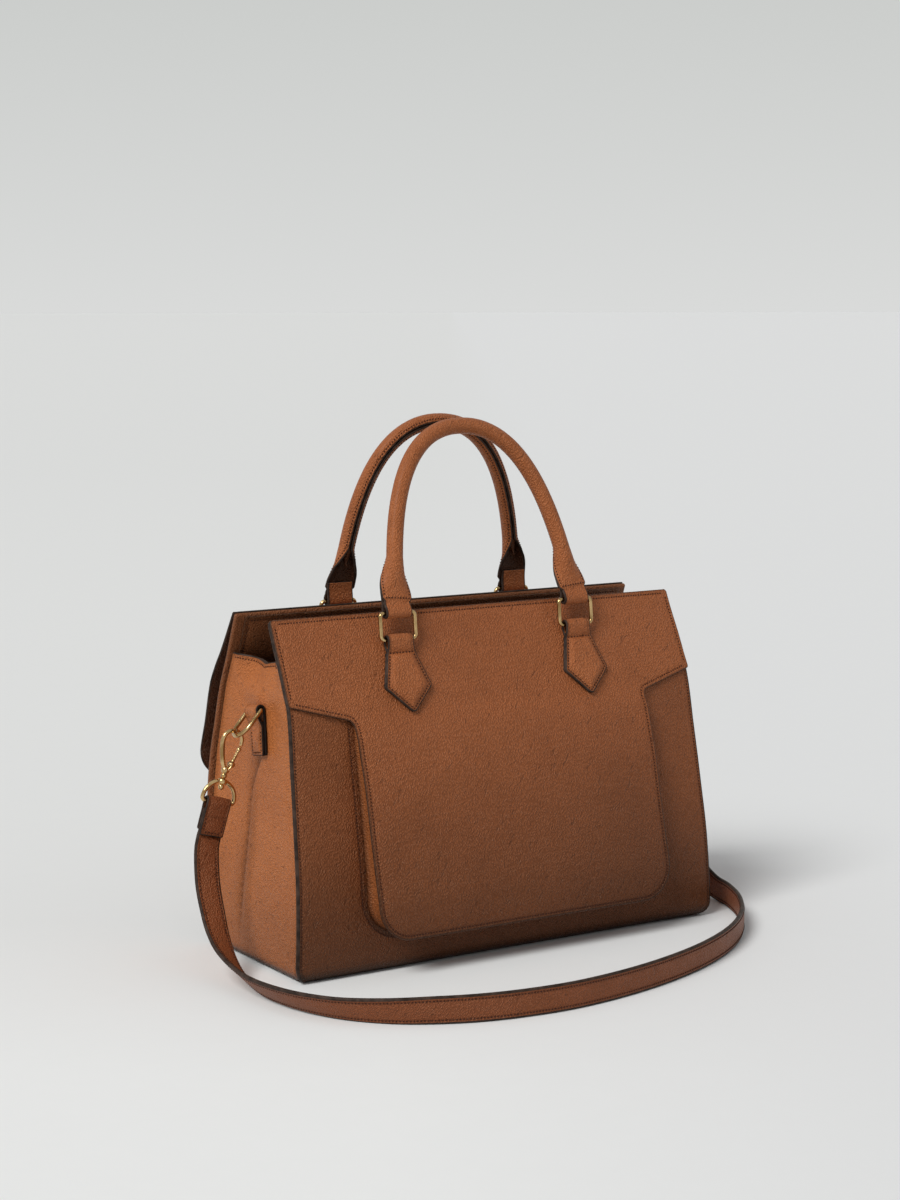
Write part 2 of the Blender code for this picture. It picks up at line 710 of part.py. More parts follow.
def ball(radius, place, name):
    bm = bmesh.new()
    bmesh.ops.create_uvsphere(bm, u_segments=TURNED_SIDES, v_segments=TURNED_SIDES // 2 + 1, radius=radius)
    bmesh.ops.translate(bm, verts=bm.verts[:], vec=place)
    mesh = finished(bm, name)
    mesh.shade_smooth()
    return mesh


def wire(name, points, radius, closed):
    """A round wire through the points, as a mesh."""
    curve = bpy.data.curves.new(name, "CURVE")
    curve.dimensions = "3D"
    curve.bevel_depth = radius
    curve.bevel_resolution = WIRE_SIDES_RESOLUTION
    curve.use_fill_caps = not closed
    spline = curve.splines.new("POLY")
    spline.points.add(len(points) - 1)
    for point, place in zip(spline.points, points):
        point.co = (*place, 1.0)
    spline.use_cyclic_u = closed
    guide = bpy.data.objects.new(name + "_curve", curve)
    CUTTERS.objects.link(guide)
    bpy.context.view_layer.update()
    shape = guide.evaluated_get(bpy.context.evaluated_depsgraph_get())
    mesh = bpy.data.meshes.new_from_object(shape)
    bpy.data.objects.remove(guide)
    bm = bmesh.new()
    bm.from_mesh(mesh)
    bmesh.ops.remove_doubles(bm, verts=bm.verts[:], dist=WELD_DISTANCE)
    bmesh.ops.recalc_face_normals(bm, faces=bm.faces[:])
    bm.to_mesh(mesh)
    bm.free()
    mesh.name = name
    smooth(mesh)
    return mesh


def arc(centre, radius, start, end, steps):
    """Points (a, b) on an arc, angles in degrees."""
    turns = (math.radians(start + (end - start) * i / steps) for i in range(steps + 1))
    return [(centre[0] + radius * math.cos(t), centre[1] + radius * math.sin(t)) for t in turns]


def rectangle_points(width, height, radius):
    """A rounded rectangle: its lower side is at 0."""
    across_half = width / 2 - radius
    points = []
    for sx, sz, start in ((1, 0, -90), (1, 1, 0), (-1, 1, 90), (-1, 0, 180)):
        centre = (sx * across_half, radius + sz * (height - 2 * radius))
        points += arc(centre, radius, start, start + 90, CORNER_STEPS)
    return points


def d_points(width, height, radius):
    """A D: a straight bar at 0 with small round corners, and a bow that reaches the height."""
    half = width / 2
    points = arc((half - radius, radius), radius, -90, 0, CORNER_STEPS)
    points += arc((0, height - half), half, 0, 180, D_BOW_STEPS)
    return points + arc((radius - half, radius), radius, 180, 270, CORNER_STEPS)


# Handle tabs, rings and handles


def ring_places(side):
    """The lower and upper bar of the rings on the front (-1) or the back (1), as (y, z)."""
    face = read(OVERLAY_OUTER_LINE if side < 0 else YOKE_OUTER_LINE, RING_LOWER_BAR_HEIGHT)
    lean = FRONT_RING_LEAN if side < 0 else BACK_RING_LEAN
    lower = Vector((0, face + side * RING_STAND_OFF, RING_LOWER_BAR_HEIGHT))
    upper = lower + RING_HEIGHT * Vector((0, -side * math.sin(lean), math.cos(lean)))
    return lower, upper


def handle_tab(name, side, x):
    line = OVERLAY_OUTER_LINE if side < 0 else YOKE_OUTER_LINE
    seat = offset_line(line, side * TOUCH_GAP)
    lower, _ = ring_places(side)
    neck = RING_STRIP_WIDTH / 2
    mouth = lower.z - (SLEEVE_INNER_RADIUS + SLEEVE_RADIUS) / 2
    mouth_depth = lower.y - side * (TAB_THICKNESS / 2 + WIRE_CLEARANCE)
    widths = (
        (TAB_TIP, TAB_TIP_HALF_WIDTH), (TAB_WIDEST, TAB_HALF_WIDTH), (TAB_TOP, neck + TAB_NECK_WIDENING),
        (mouth, neck),
    )
    rows = heights(TAB_TIP, TAB_TOP, line_heights(seat), [TAB_WIDEST]) + [mouth]

    def depth(z):
        return mouth_depth if z == mouth else read(seat, z)

    place = across(lambda z: read(widths, z), depth, -side)
    tab = sheet(
        name, (-1, 0, 1), rows, lambda u, z: place(u, z) + Vector((x, 0, 0)), TAB_THICKNESS, LIGHT_LEATHER,
        grow=1.0,
    )
    fold = tube_ring(
        SLEEVE_RADIUS, SLEEVE_INNER_RADIUS, RING_STRIP_WIDTH - TOUCH_GAP, name + "_fold",
        lower + Vector((x, 0, 0)), Vector((1, 0, 0)),
    )
    join_to(tab, "UNION", tool(name + "_fold", fold))
    return tab


def handle_ring(name, side, x, hinge):
    lower, upper = ring_places(side)
    up = (upper - lower) / RING_HEIGHT
    points = rectangle_points(RING_WIDTH, RING_HEIGHT, RING_CORNER_RADIUS)
    mesh = wire(name, [Vector((x + a, 0, 0)) + b * up for a, b in points], WIRE_RADIUS, True)
    return put(name, mesh, PALE_GOLD, hinge)


def handle_path(t):
    """Across and up the arch for t from 0 to 1, end to end."""
    angle = math.pi * t
    power = 2 / HANDLE_ARCH_EXPONENT
    across_arch = -math.copysign(abs(math.cos(angle)) ** power, math.cos(angle)) * HANDLE_HALF_SPAN
    up = max(0.0, math.sin(angle)) ** power * HANDLE_ARCH_HEIGHT
    share = up / HANDLE_ARCH_HEIGHT
    return across_arch * (1 + HANDLE_BULGE_SHARE * 4 * share * (1 - share)), up


def handle_stations():
    """Where the handle's sections are cut: close together at the flat ends, even along the arch."""
    end_heights = [share * HANDLE_SHOULDER_HEIGHT for share, _, _ in HANDLE_END_SHARES]
    end_heights[0] = (SLEEVE_INNER_RADIUS + SLEEVE_RADIUS) / 2
    stations = []
    for height in end_heights:
        low, high = 0.0, 1 / 2
        for _ in range(SEARCH_ROUNDS):
            middle = (low + high) / 2
            if handle_path(middle)[1] < height:
                low = middle
            else:
                high = middle
        stations.append(low)
    first = stations[-1]
    count = HANDLE_ARCH_STEPS
    arch = [first + (1 - 2 * first) * i / count for i in range(1, count)]
    return stations + arch + [1 - t for t in reversed(stations)]


def handle_section(up):
    """The width, thickness and squareness of the section at a height above the ring's bar."""
    share = min(1.0, up / HANDLE_SHOULDER_HEIGHT)
    flat = read([(s, f) for s, f, _ in HANDLE_END_SHARES], share)
    shoulder = read([(s, w) for s, _, w in HANDLE_END_SHARES], share)
    plain = HANDLE_DIAMETER + (RING_STRIP_WIDTH - HANDLE_DIAMETER) * min(1.0, flat + shoulder / 2)
    width = plain + (HANDLE_SHOULDER_WIDTH - plain) * shoulder
    thickness = HANDLE_DIAMETER + (HANDLE_STRIP_THICKNESS - HANDLE_DIAMETER) * flat
    return width, thickness, HANDLE_ROUND_POWER + (HANDLE_STRIP_POWER - HANDLE_ROUND_POWER) * flat


def handle(name, side, lean, side_lean_share, hinge):
    """The handle's leather: a round arch whose flat ends fold round the rings' upper bars."""
    plane_up = Vector((side_lean_share, -side * math.sin(lean), math.cos(lean)))
    plane_out = Vector((0, math.cos(lean), side * math.sin(lean)))
    stations = handle_stations()
    bm = bmesh.new()
    rings = []
    for i, t in enumerate(stations):
        a, b = handle_path(t)
        before = handle_path(stations[max(0, i - 1)])
        after = handle_path(stations[min(len(stations) - 1, i + 1)])
        da, db = after[0] - before[0], after[1] - before[1]
        if i in (0, len(stations) - 1):
            da = 0.0
        size = math.hypot(da, db)
        centre = Vector((a, 0, 0)) + b * plane_up
        normal = (-db / size) * Vector((1, 0, 0)) + (da / size) * plane_up
        width, thickness, power = handle_section(b)
        ring = []
        for k in range(HANDLE_SECTION_SIDES):
            turn = math.tau * k / HANDLE_SECTION_SIDES
            c = math.copysign(abs(math.cos(turn)) ** (2 / power), math.cos(turn))
            s = math.copysign(abs(math.sin(turn)) ** (2 / power), math.sin(turn))
            ring.append(bm.verts.new(centre + normal * c * width / 2 + plane_out * s * thickness / 2))
        rings.append(ring)
    for first, second in zip(rings, rings[1:]):
        for k in range(HANDLE_SECTION_SIDES):
            following = (k + 1) % HANDLE_SECTION_SIDES
            bm.faces.new((first[k], first[following], second[following], second[k]))
    bm.faces.new(rings[0])
    bm.faces.new(rings[-1])
    bmesh.ops.recalc_face_normals(bm, faces=bm.faces[:])
    mesh = finished(bm, name)
    smooth(mesh, HANDLE_SHARP_ANGLE)
    item = put(name, mesh, LIGHT_LEATHER, hinge)
    for end in (-1, 1):
        fold = tube_ring(
            SLEEVE_RADIUS, SLEEVE_INNER_RADIUS, RING_STRIP_WIDTH - TOUCH_GAP, name + "_fold",
            hinge.matrix_world.translation + Vector((end * HANDLE_HALF_SPAN, 0, 0)), Vector((1, 0, 0)),
        )
        join_to(item, "UNION", tool(name + "_fold_" + ("left", "right")[end > 0], fold))
    return item


def handle_set(word, side, lean, side_lean_share):
    """Tabs, rings and handle of one side of the bag."""
    lower, upper = ring_places(side)
    ring_hinge = empty(word + "_rings_hinge", lower)
    handle_hinge = empty(word + "_handle_hinge", upper, parent=ring_hinge)
    for end, x in (("left", -HANDLE_HALF_SPAN), ("right", HANDLE_HALF_SPAN)):
        handle_tab(word + "_" + end + "_tab", side, x)
        handle_ring(word + "_" + end + "_ring", side, x, ring_hinge)
    handle(word + "_handle", side, lean, side_lean_share, handle_hinge)


# Side tabs, D-rings, hooks and strap


def side_tab_seat(z):
    """The middle of the gusset's outer face where the side tab is sewn."""
    fold = GUSSET_FOLD_DEPTH * GUSSET_TAB_DEPTH_SHARE
    return side_width(z) - GUSSET_INSET - fold + TOUCH_GAP


def d_ring_bar(side):
    out = side_tab_seat(D_RING_BAR_HEIGHT) + SLEEVE_RADIUS + TOUCH_GAP
    return Vector((side * out, SIDE_TAB_PLACE, D_RING_BAR_HEIGHT))


def side_tab(name, side):
    bar = d_ring_bar(side)
    top = bar.z - (SLEEVE_INNER_RADIUS + SLEEVE_RADIUS) / 2

    def place(u, z):
        share = (z - SIDE_TAB_BOTTOM) / (top - SIDE_TAB_BOTTOM)
        half = (SIDE_TAB_BOTTOM_WIDTH + share * (SIDE_TAB_TOP_WIDTH - SIDE_TAB_BOTTOM_WIDTH)) / 2
        return Vector((side * side_tab_seat(z), SIDE_TAB_PLACE + side * u * half, z))

    tab = sheet(name, (-1, 1), (SIDE_TAB_BOTTOM, top), place, SIDE_TAB_THICKNESS, LIGHT_LEATHER, grow=1.0)
    fold = tube_ring(
        SLEEVE_RADIUS, SLEEVE_INNER_RADIUS, SIDE_TAB_TOP_WIDTH - TOUCH_GAP, name + "_fold", bar,
        Vector((0, 1, 0)),
    )
    join_to(tab, "UNION", tool(name + "_fold", fold))
    return tab


def d_ring_direction(side):
    return Vector((side * math.sin(D_RING_HANG_ANGLE), 0, -math.cos(D_RING_HANG_ANGLE)))


def d_ring(name, side):
    hinge = empty(name + "_hinge", d_ring_bar(side))
    down = d_ring_direction(side)
    points = d_points(D_RING_WIDTH, D_RING_LENGTH, D_RING_CORNER_RADIUS)
    mesh = wire(name, [Vector((0, a, 0)) + b * down for a, b in points], WIRE_RADIUS, True)
    return put(name, mesh, PALE_GOLD, hinge)


def hook_frame(side):
    """The bar in the strap's end, and the hook's own axes: inwards, along the bar's side, and up."""
    bow = d_ring_bar(side) + D_RING_LENGTH * d_ring_direction(side)
    reach = HUB_HEIGHT + CLAW_HEIGHT - CLAW_WIRE_RADIUS - WIRE_RADIUS - HOOK_SEAT_GAP
    out = side * STRAP_BAR_OUT
    drop = math.sqrt(reach ** 2 - STRAP_BAR_OUT ** 2 - STRAP_BAR_BACK ** 2)
    bar = bow + Vector((out, STRAP_BAR_BACK, -drop))
    up = (bow - bar).normalized()
    inward = Vector((-side, 0, 0))
    inward = (inward - inward.dot(up) * up).normalized()
    beside = up.cross(inward)
    bar = bar - inward * HOOK_RING_PLACE_SHARE * CLAW_HALF_WIDTH
    turn = Matrix((inward, beside, up)).transposed().to_4x4()
    return bar, turn


def gate_pivot():
    across_share, up_share = GATE_PIVOT_SHARES
    return Vector((across_share * CLAW_HALF_WIDTH, 0, HUB_HEIGHT + up_share * CLAW_HEIGHT))


def claw_points():
    """The claw's wire, read through its points by a smooth curve."""
    points = [(a * CLAW_HALF_WIDTH, HUB_HEIGHT + b * CLAW_HEIGHT) for a, b in CLAW_SHARES]
    return [Vector((a, 0, b)) for a, b in points]


def bead_profile(radius, centre):
    """Half of a ball's outline, from its lower to its upper end, without the ends on the axis."""
    angles = (-BEAD_END_ANGLE, -BEAD_WAIST_ANGLE, BEAD_WAIST_ANGLE, BEAD_END_ANGLE)
    return [(radius * math.cos(a), centre + radius * math.sin(a)) for a in angles]


def swivel_profile():
    """The hook's stem: a bead below the collar, the pin through it, a bead and the hub above."""
    away = COLLAR_HEIGHT / 2 + TOUCH_GAP + BEAD_RADIUS * math.sin(BEAD_END_ANGLE)
    lower, upper = D_BASE_HEIGHT - away, D_BASE_HEIGHT + away
    low_bead = bead_profile(BEAD_RADIUS, lower)
    high_bead = bead_profile(BEAD_RADIUS, upper)
    hub = bead_profile(HUB_RADIUS, HUB_HEIGHT)
    outline = [(0, low_bead[0][1])] + low_bead
    outline += [(SWIVEL_PIN_RADIUS, low_bead[-1][1]), (SWIVEL_PIN_RADIUS, high_bead[0][1])]
    outline += high_bead[:-1] + hub[1:]
    return outline + [(0, hub[-1][1])]


def hook(name):
    """Stem, hub, claw and the two cheeks that hold the gate's pin, in the hook's own axes."""
    mesh = turned(swivel_profile(), name, (0, 0, 0), Vector((0, 0, 1)), TURNED_SIDES)
    claw = tool(name + "_claw", wire(name + "_claw", claw_points(), CLAW_WIRE_RADIUS, False))
    pivot = gate_pivot()
    tools = [claw]
    inner = GATE_EYE_WIDTH / 2 + TOUCH_GAP
    outer = inner + GATE_CHEEK_THICKNESS
    for word, sign in (("front", -1), ("back", 1)):
        cheek = cylinder(
            GATE_EYE_RADIUS, pivot + Vector((0, sign * inner, 0)), pivot + Vector((0, sign * outer, 0)),
            name + "_cheek", TURNED_SIDES,
        )
        cheek_tool = tool(name + "_" + word + "_cheek", cheek)
        foot = Vector((pivot.x * GATE_ARM_FOOT_SHARE, sign * (inner + outer) / 2, HUB_HEIGHT))
        head = pivot + Vector((0, sign * (inner + outer) / 2, 0))
        arm = cylinder(GATE_CHEEK_THICKNESS / 2, foot, head, name + "_arm", TURNED_SIDES)
        tools += [cheek_tool, tool(name + "_" + word + "_arm", arm)]
    return mesh, tools


def gate(name, pivot):
    """The sprung gate: an eye on the pin and a straight bar up to the claw's end."""
    tip = claw_points()[-1]
    up = tip - pivot
    length = up.length
    direction = up.normalized()
    end = pivot + direction * (length - TOUCH_GAP - GATE_RADIUS * GATE_TIP_SHARE)
    start = pivot + direction * (GATE_EYE_RADIUS + GATE_PIN_RADIUS + GATE_PIN_CLEARANCE) / 2
    mesh = cylinder(GATE_RADIUS, start, end, name, TURNED_SIDES)
    eye = tube_ring(
        GATE_EYE_RADIUS, GATE_PIN_RADIUS + GATE_PIN_CLEARANCE, GATE_EYE_WIDTH, name + "_eye", pivot,
        Vector((0, 1, 0)),
    )
    knob_place = pivot + direction * length * GATE_KNOB_PLACE_SHARE + Vector((GATE_RADIUS, 0, 0))
    knob = ball(GATE_KNOB_RADIUS, knob_place, name + "_knob")
    return mesh, (tool(name + "_eye", eye), tool(name + "_knob", knob))


def moved_into(item, frame, pivot):
    """Gives a piece that was made in the hook's axes its place, and its tools with it."""
    item.location = -pivot
    for step in item.modifiers:
        step.object.matrix_world = frame


def clip(word, side):
    """The D-base in the strap's end, the swivelling hook on it, and the hook's gate."""
    bar, turn = hook_frame(side)
    frame = Matrix.Translation(bar) @ turn
    base_hinge = empty(word + "_d_base_hinge", bar, turn)
    hook_hinge = empty(word + "_hook_swivel", frame @ Vector((0, 0, HUB_HEIGHT)), turn, base_hinge)
    pivot = gate_pivot()
    gate_hinge = empty(word + "_gate_hinge", frame @ pivot, turn, hook_hinge)

    points = [Vector((a, 0, b)) for a, b in d_points(D_BASE_WIDTH, D_BASE_HEIGHT, D_BASE_CORNER_RADIUS)]
    name = word + "_d_base"
    base = put(name, wire(name, points, WIRE_RADIUS, True), PALE_GOLD, base_hinge)
    top = Vector((0, 0, D_BASE_HEIGHT))
    half = Vector((0, 0, COLLAR_HEIGHT / 2))
    over = Vector((0, 0, CUT_OVERRUN))
    collar = tool(name + "_collar", cylinder(COLLAR_RADIUS, top - half, top + half, name + "_collar"))
    hole_radius = SWIVEL_PIN_RADIUS + SWIVEL_CLEARANCE
    hole = tool(name + "_hole", cylinder(hole_radius, top - half - over, top + half + over, name + "_hole"))
    join_to(base, "UNION", collar)
    join_to(base, "DIFFERENCE", hole)
    moved_into(base, frame, Vector((0, 0, 0)))

    name = word + "_hook"
    mesh, tools = hook(name)
    made = put(name, mesh, PALE_GOLD, hook_hinge)
    join_to(made, "UNION", *tools)
    moved_into(made, frame, Vector((0, 0, HUB_HEIGHT)))
    pin_reach = Vector((0, GATE_EYE_WIDTH / 2 + TOUCH_GAP + GATE_CHEEK_THICKNESS, 0))
    pin_hole_radius = GATE_PIN_RADIUS + TOUCH_GAP / 2
    pin_overrun = Vector((0, CUT_OVERRUN, 0))
    low, high = pivot - pin_reach - pin_overrun, pivot + pin_reach + pin_overrun
    pin_hole = tool(name + "_pin_hole", cylinder(pin_hole_radius, low, high, name + "_pin_hole"))
    join_to(made, "DIFFERENCE", pin_hole)
    pin_hole.matrix_world = frame

    name = word + "_gate_pin"
    mesh = cylinder(GATE_PIN_RADIUS, pivot - pin_reach, pivot + pin_reach, name)
    pin = put(name, mesh, PALE_GOLD, hook_hinge)
    moved_into(pin, frame, Vector((0, 0, HUB_HEIGHT)))

    name = word + "_gate"
    mesh, tools = gate(name, pivot)
    made = put(name, mesh, PALE_GOLD, gate_hinge)
    join_to(made, "UNION", *tools)
    moved_into(made, frame, pivot)


def strap_end(word, side):
    """The strap's end, folded over the D-base's bar and sewn to itself."""
    bar, turn = hook_frame(side)
    frame = Matrix.Translation(bar) @ turn
    name = word + "_strap_end"
    half_width, half_thickness = STRAP_HALF_WIDTH, STRAP_END_THICKNESS / 2
    bm = bmesh.new()
    bmesh.ops.create_cube(bm, size=1.0)
    top = -(SLEEVE_INNER_RADIUS + SLEEVE_RADIUS) / 2
    for vert in bm.verts:
        height = top if vert.co.z > 0 else -STRAP_END_LENGTH
        vert.co = (
            math.copysign(half_width, vert.co.x), math.copysign(half_thickness, vert.co.y), height,
        )
    item = put(name, finished(bm, name), DARK_LEATHER)
    item.matrix_world = frame
    fold = tool(
        name + "_fold",
        tube_ring(
            SLEEVE_RADIUS, SLEEVE_INNER_RADIUS, STRAP_WIDTH - TOUCH_GAP, name + "_fold", Vector((0, 0, 0)),
            Vector((1, 0, 0)),
        ),
    )
    join_to(item, "UNION", fold)
    fold.matrix_world = frame
    return item


def smooth_route(points, count):
    """Evenly spaced places on a smooth curve through the points, which may have any number of values."""
    size = len(points[0])
    ends = (
        [2 * points[0][k] - points[1][k] for k in range(size)],
        [2 * points[-1][k] - points[-2][k] for k in range(size)],
    )
    line = [ends[0], *points, ends[1]]
    fine = []
    for i in range(1, len(line) - 2):
        before, here, there, after = line[i - 1:i + 3]
        for j in range(CURVE_PARTS):
            t = j / CURVE_PARTS
            fine.append([
                h + (n - b) * t / 2 + (b - h * 5 / 2 + 2 * n - a / 2) * t ** 2
                + (h * 3 - b - n * 3 + a) * t ** 3 / 2
                for b, h, n, a in zip(before, here, there, after)
            ])
    fine.append(list(points[-1]))
    reach = [0.0]
    for a, b in zip(fine, fine[1:]):
        reach.append(reach[-1] + math.dist(a[:3], b[:3]))
    placed = []
    k = 0
    for i in range(count + 1):
        wanted = reach[-1] * i / count
        while k < len(reach) - 2 and reach[k + 1] < wanted:
            k += 1
        t = (wanted - reach[k]) / (reach[k + 1] - reach[k])
        placed.append([a + (b - a) * t for a, b in zip(fine[k], fine[k + 1])])
    return placed, reach[-1]


def strap():
    """The strap: a flat strip between its two ends."""
    starts = []
    for side in (-1, 1):
        bar, turn = hook_frame(side)
        starts.append(bar - (STRAP_END_LENGTH + TOUCH_GAP) * turn.col[2].to_3d())
    route = [(*starts[0], STRAP_ROUTE[0][3]), *STRAP_ROUTE, (*starts[1], STRAP_ROUTE[-1][3])]
    placed, length = smooth_route(route, STRAP_STEPS)
    frames = []
    for i, place in enumerate(placed):
        before, after = placed[max(0, i - 1)], placed[min(STRAP_STEPS, i + 1)]
        along = (Vector(after[:3]) - Vector(before[:3])).normalized()
        turn = place[3] * math.radians(90)
        wide = Vector((-math.cos(turn), 0, math.sin(turn)))
        wide = (wide - wide.dot(along) * along).normalized()
        frames.append((Vector(place[:3]), wide, along.cross(wide)))
    for end, side in ((0, -1), (STRAP_STEPS, 1)):
        _, turn = hook_frame(side)
        wide = -turn.col[0].to_3d()
        frames[end] = (frames[end][0], wide, frames[end][2])

    def place(i, u):
        centre, wide, thick = frames[int(i)]
        return centre + u * wide * STRAP_HALF_WIDTH - thick * STRAP_THICKNESS / 2

    steps = tuple(range(STRAP_STEPS + 1))
    item = sheet("strap", steps, (-1, 1), place, STRAP_THICKNESS, DARK_LEATHER, grow=1.0)
    print("strap leather between its ends, m:", round(length, 4))
    return item


# Snap inside the mouth


def snap(name, line, side):
    """One half of the magnetic snap, on the facing."""
    height = SNAP_HEIGHT_SHARE * BODY_HEIGHT
    seat = offset_line(line, -side * (FACING_THICKNESS + TOUCH_GAP + TOUCH_GAP))
    step = SNAP_RADIUS
    slope = (read(seat, height + step) - read(seat, height - step)) / (2 * step)
    inward = Vector((0, -side, side * slope)).normalized()
    place = Vector((0, read(seat, height), height))
    profile = (
        (0, 0), (SNAP_RADIUS, 0), (SNAP_RADIUS, SNAP_THICKNESS), (SNAP_BOSS_RADIUS, SNAP_THICKNESS),
        (SNAP_BOSS_RADIUS, SNAP_THICKNESS + SNAP_BOSS_HEIGHT), (0, SNAP_THICKNESS + SNAP_BOSS_HEIGHT),
    )
    return put(name, turned(profile, name, place, inward, SLEEVE_SIDES), PALE_GOLD)


def build():
    body_panel("front_panel", FRONT_LINE, 1, FRONT_TOP_CORNER_RADIUS, LEATHER)
    body_panel("back_panel", BACK_LINE, -1, BACK_TOP_CORNER_RADIUS, LEATHER)
    front_overlay()
    front_pocket_gusset()
    back_yoke()
    back_flap()
    back_pocket()
    back_pocket_gusset()
    lining_bottom = FLOOR_STACK + TOUCH_GAP
    for word, line, side in (("front", FRONT_INNER_LINE, 1), ("back", BACK_INNER_LINE, -1)):
        inner_sheet(word + "_lining", line, side, lining_bottom, LINING_TOP, LINING_THICKNESS, LINING_CLOTH)
        facing_bottom = LINING_TOP + TOUCH_GAP
        inner_sheet(word + "_facing", line, side, facing_bottom, FACING_TOP, FACING_THICKNESS, INNER_LEATHER)
    for word, side in (("left", -1), ("right", 1)):
        gusset(word + "_gusset", side, 0.0, 0.0, GUSSET_THICKNESS, LIGHT_LEATHER)
        gusset(
            word + "_gusset_lining", side, lining_bottom, GUSSET_THICKNESS + GUSSET_LINING_CLEARANCE,
            LINING_THICKNESS, LINING_CLOTH,
        )
    base_sheet("base_panel", 0.0, BASE_THICKNESS, DARK_LEATHER)
    base_sheet("base_board", BASE_THICKNESS + TOUCH_GAP, BOARD_THICKNESS, BOARD)
    base_sheet(
        "base_lining", BASE_THICKNESS + BOARD_THICKNESS + 2 * TOUCH_GAP, LINING_THICKNESS, LINING_CLOTH,
    )
    snap("snap_stud", FRONT_INNER_LINE, -1)
    snap("snap_socket", BACK_INNER_LINE, 1)
    handle_set("front", -1, FRONT_HANDLE_LEAN, 0.0)
    handle_set("back", 1, BACK_HANDLE_LEAN, BACK_HANDLE_SIDE_LEAN_SHARE)
    for word, side in (("left", -1), ("right", 1)):
        side_tab(word + "_side_tab", side)
        d_ring(word + "_d_ring", side)
        clip(word, side)
        strap_end(word, side)
    strap()


clear_scene()
PARTS = collection("satchel")
CUTTERS = collection("cutters", hidden=True)
build()
bpy.context.view_layer.update()
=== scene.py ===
import json
import math

import bpy
import numpy as np
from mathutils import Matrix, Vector
from mathutils.geometry import delaunay_2d_cdt


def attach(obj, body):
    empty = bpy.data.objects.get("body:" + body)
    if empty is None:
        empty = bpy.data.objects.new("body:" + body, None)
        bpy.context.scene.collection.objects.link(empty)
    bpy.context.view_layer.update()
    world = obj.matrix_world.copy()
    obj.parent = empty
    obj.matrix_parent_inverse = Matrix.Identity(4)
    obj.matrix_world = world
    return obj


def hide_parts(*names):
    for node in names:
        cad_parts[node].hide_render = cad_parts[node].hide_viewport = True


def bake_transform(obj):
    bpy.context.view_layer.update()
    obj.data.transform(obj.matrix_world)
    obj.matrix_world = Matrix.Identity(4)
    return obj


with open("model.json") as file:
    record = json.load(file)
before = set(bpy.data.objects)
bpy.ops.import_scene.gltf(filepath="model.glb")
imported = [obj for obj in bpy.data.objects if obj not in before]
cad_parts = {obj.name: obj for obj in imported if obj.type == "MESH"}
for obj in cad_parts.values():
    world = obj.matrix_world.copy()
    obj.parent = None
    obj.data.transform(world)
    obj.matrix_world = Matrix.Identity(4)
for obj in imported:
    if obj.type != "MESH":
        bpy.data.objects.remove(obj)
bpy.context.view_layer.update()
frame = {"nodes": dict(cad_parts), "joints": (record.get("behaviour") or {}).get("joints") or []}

# Sizes that the part's source gives, in metres

BODY_HALF_WIDTH = 0.180
BODY_HEIGHT = 0.245
BODY_DEPTH = 0.1364
BASE_CORNER_RADIUS = 0.008
PANEL_CORNER_RADIUS = 0.012
SIDE_TAPER_SHARES = ((0.0, 1.0), (0.763, 0.9567), (1.0, 0.9522))
FRONT_FACE_SHARES = (
    (0.0, 0.5015), (0.078, 0.503), (0.241, 0.4875), (0.424, 0.44), (0.592, 0.3886),
    (0.767, 0.3292), (0.796, 0.3035), (0.869, 0.2412), (0.943, 0.1716), (1.0, 0.1239),
)
BACK_FACE_SHARES = (
    (0.0, 0.4985), (0.245, 0.5425), (0.465, 0.535), (0.555, 0.5205), (0.669, 0.473),
    (0.763, 0.4326), (0.8755, 0.3446), (1.0, 0.2566),
)
GAP = 0.0003
PANEL_THICKNESS = 0.0036
OVERLAY_THICKNESS = 0.0018
GUSSET_THICKNESS = 0.0020
LINING_THICKNESS = 0.0009
FACING_THICKNESS = 0.0014
BASE_THICKNESS = 0.0022
BOARD_THICKNESS = 0.0024
LINING_TOP = 0.835 * BODY_HEIGHT
FACING_TOP = 0.990 * BODY_HEIGHT
GUSSET_LINING_CLEARANCE = 0.0008
GUSSET_INSET = 0.003
GUSSET_FOLD_PLACE = 0.0045
GUSSET_TOP = 0.882 * BODY_HEIGHT
GUSSET_TOP_DIP = 0.004
GUSSET_FOLD_DEPTH = 0.009
GUSSET_FOLD_FLAT_SHARE = 0.34
GUSSET_FOLD_END_SHARE = 0.87
GUSSET_TAB_SHARE = 0.222
GUSSET_FOLD_SHARES = (
    (0.0, 0.0), (0.18, 0.0), (0.42, 0.30), (0.59, GUSSET_TAB_SHARE), (0.767, GUSSET_TAB_SHARE),
    (0.83, 0.72), (0.882, 1.0),
)
YOKE_SIDE_HEIGHT = 0.188
YOKE_INNER_HEIGHT = 0.175
POCKET_HALF_WIDTH = 0.125
POCKET_BOTTOM = 0.026
POCKET_CORNER_RADIUS = 0.025
POCKET_DEPTH = 0.0195
POCKET_OVERHANG = 0.0015
POCKET_GUSSET_THICKNESS = 0.0016
POCKET_DEPTH_SHARES = (
    (0.0, 0.0), (0.05, 0.06), (0.08, 0.14), (0.142, 0.35), (0.235, 0.47), (0.358, 0.60),
    (0.481, 0.66), (0.605, 0.72), (0.728, 0.80), (0.852, 0.95), (1.0, 1.0),
)
FLAP_FOLD_HEIGHT = 0.173
FLAP_BOTTOM = 0.118
FLAP_CORNER_RADIUS = 0.020
FLAP_STAND_OFF = 0.0145
FLAP_STAND_OFF_SHARES = (
    (0.481, 0.78), (0.555, 0.90), (0.571, 0.93), (0.661, 0.86), (0.763, 0.86), (0.833, 0.70),
    (0.8755, 0.50), (0.943, 0.22), (1.0, 0.0),
)
BACK_POCKET_HALF_WIDTH = 0.118
BACK_POCKET_TOP = 0.164
BACK_POCKET_BOTTOM = 0.044
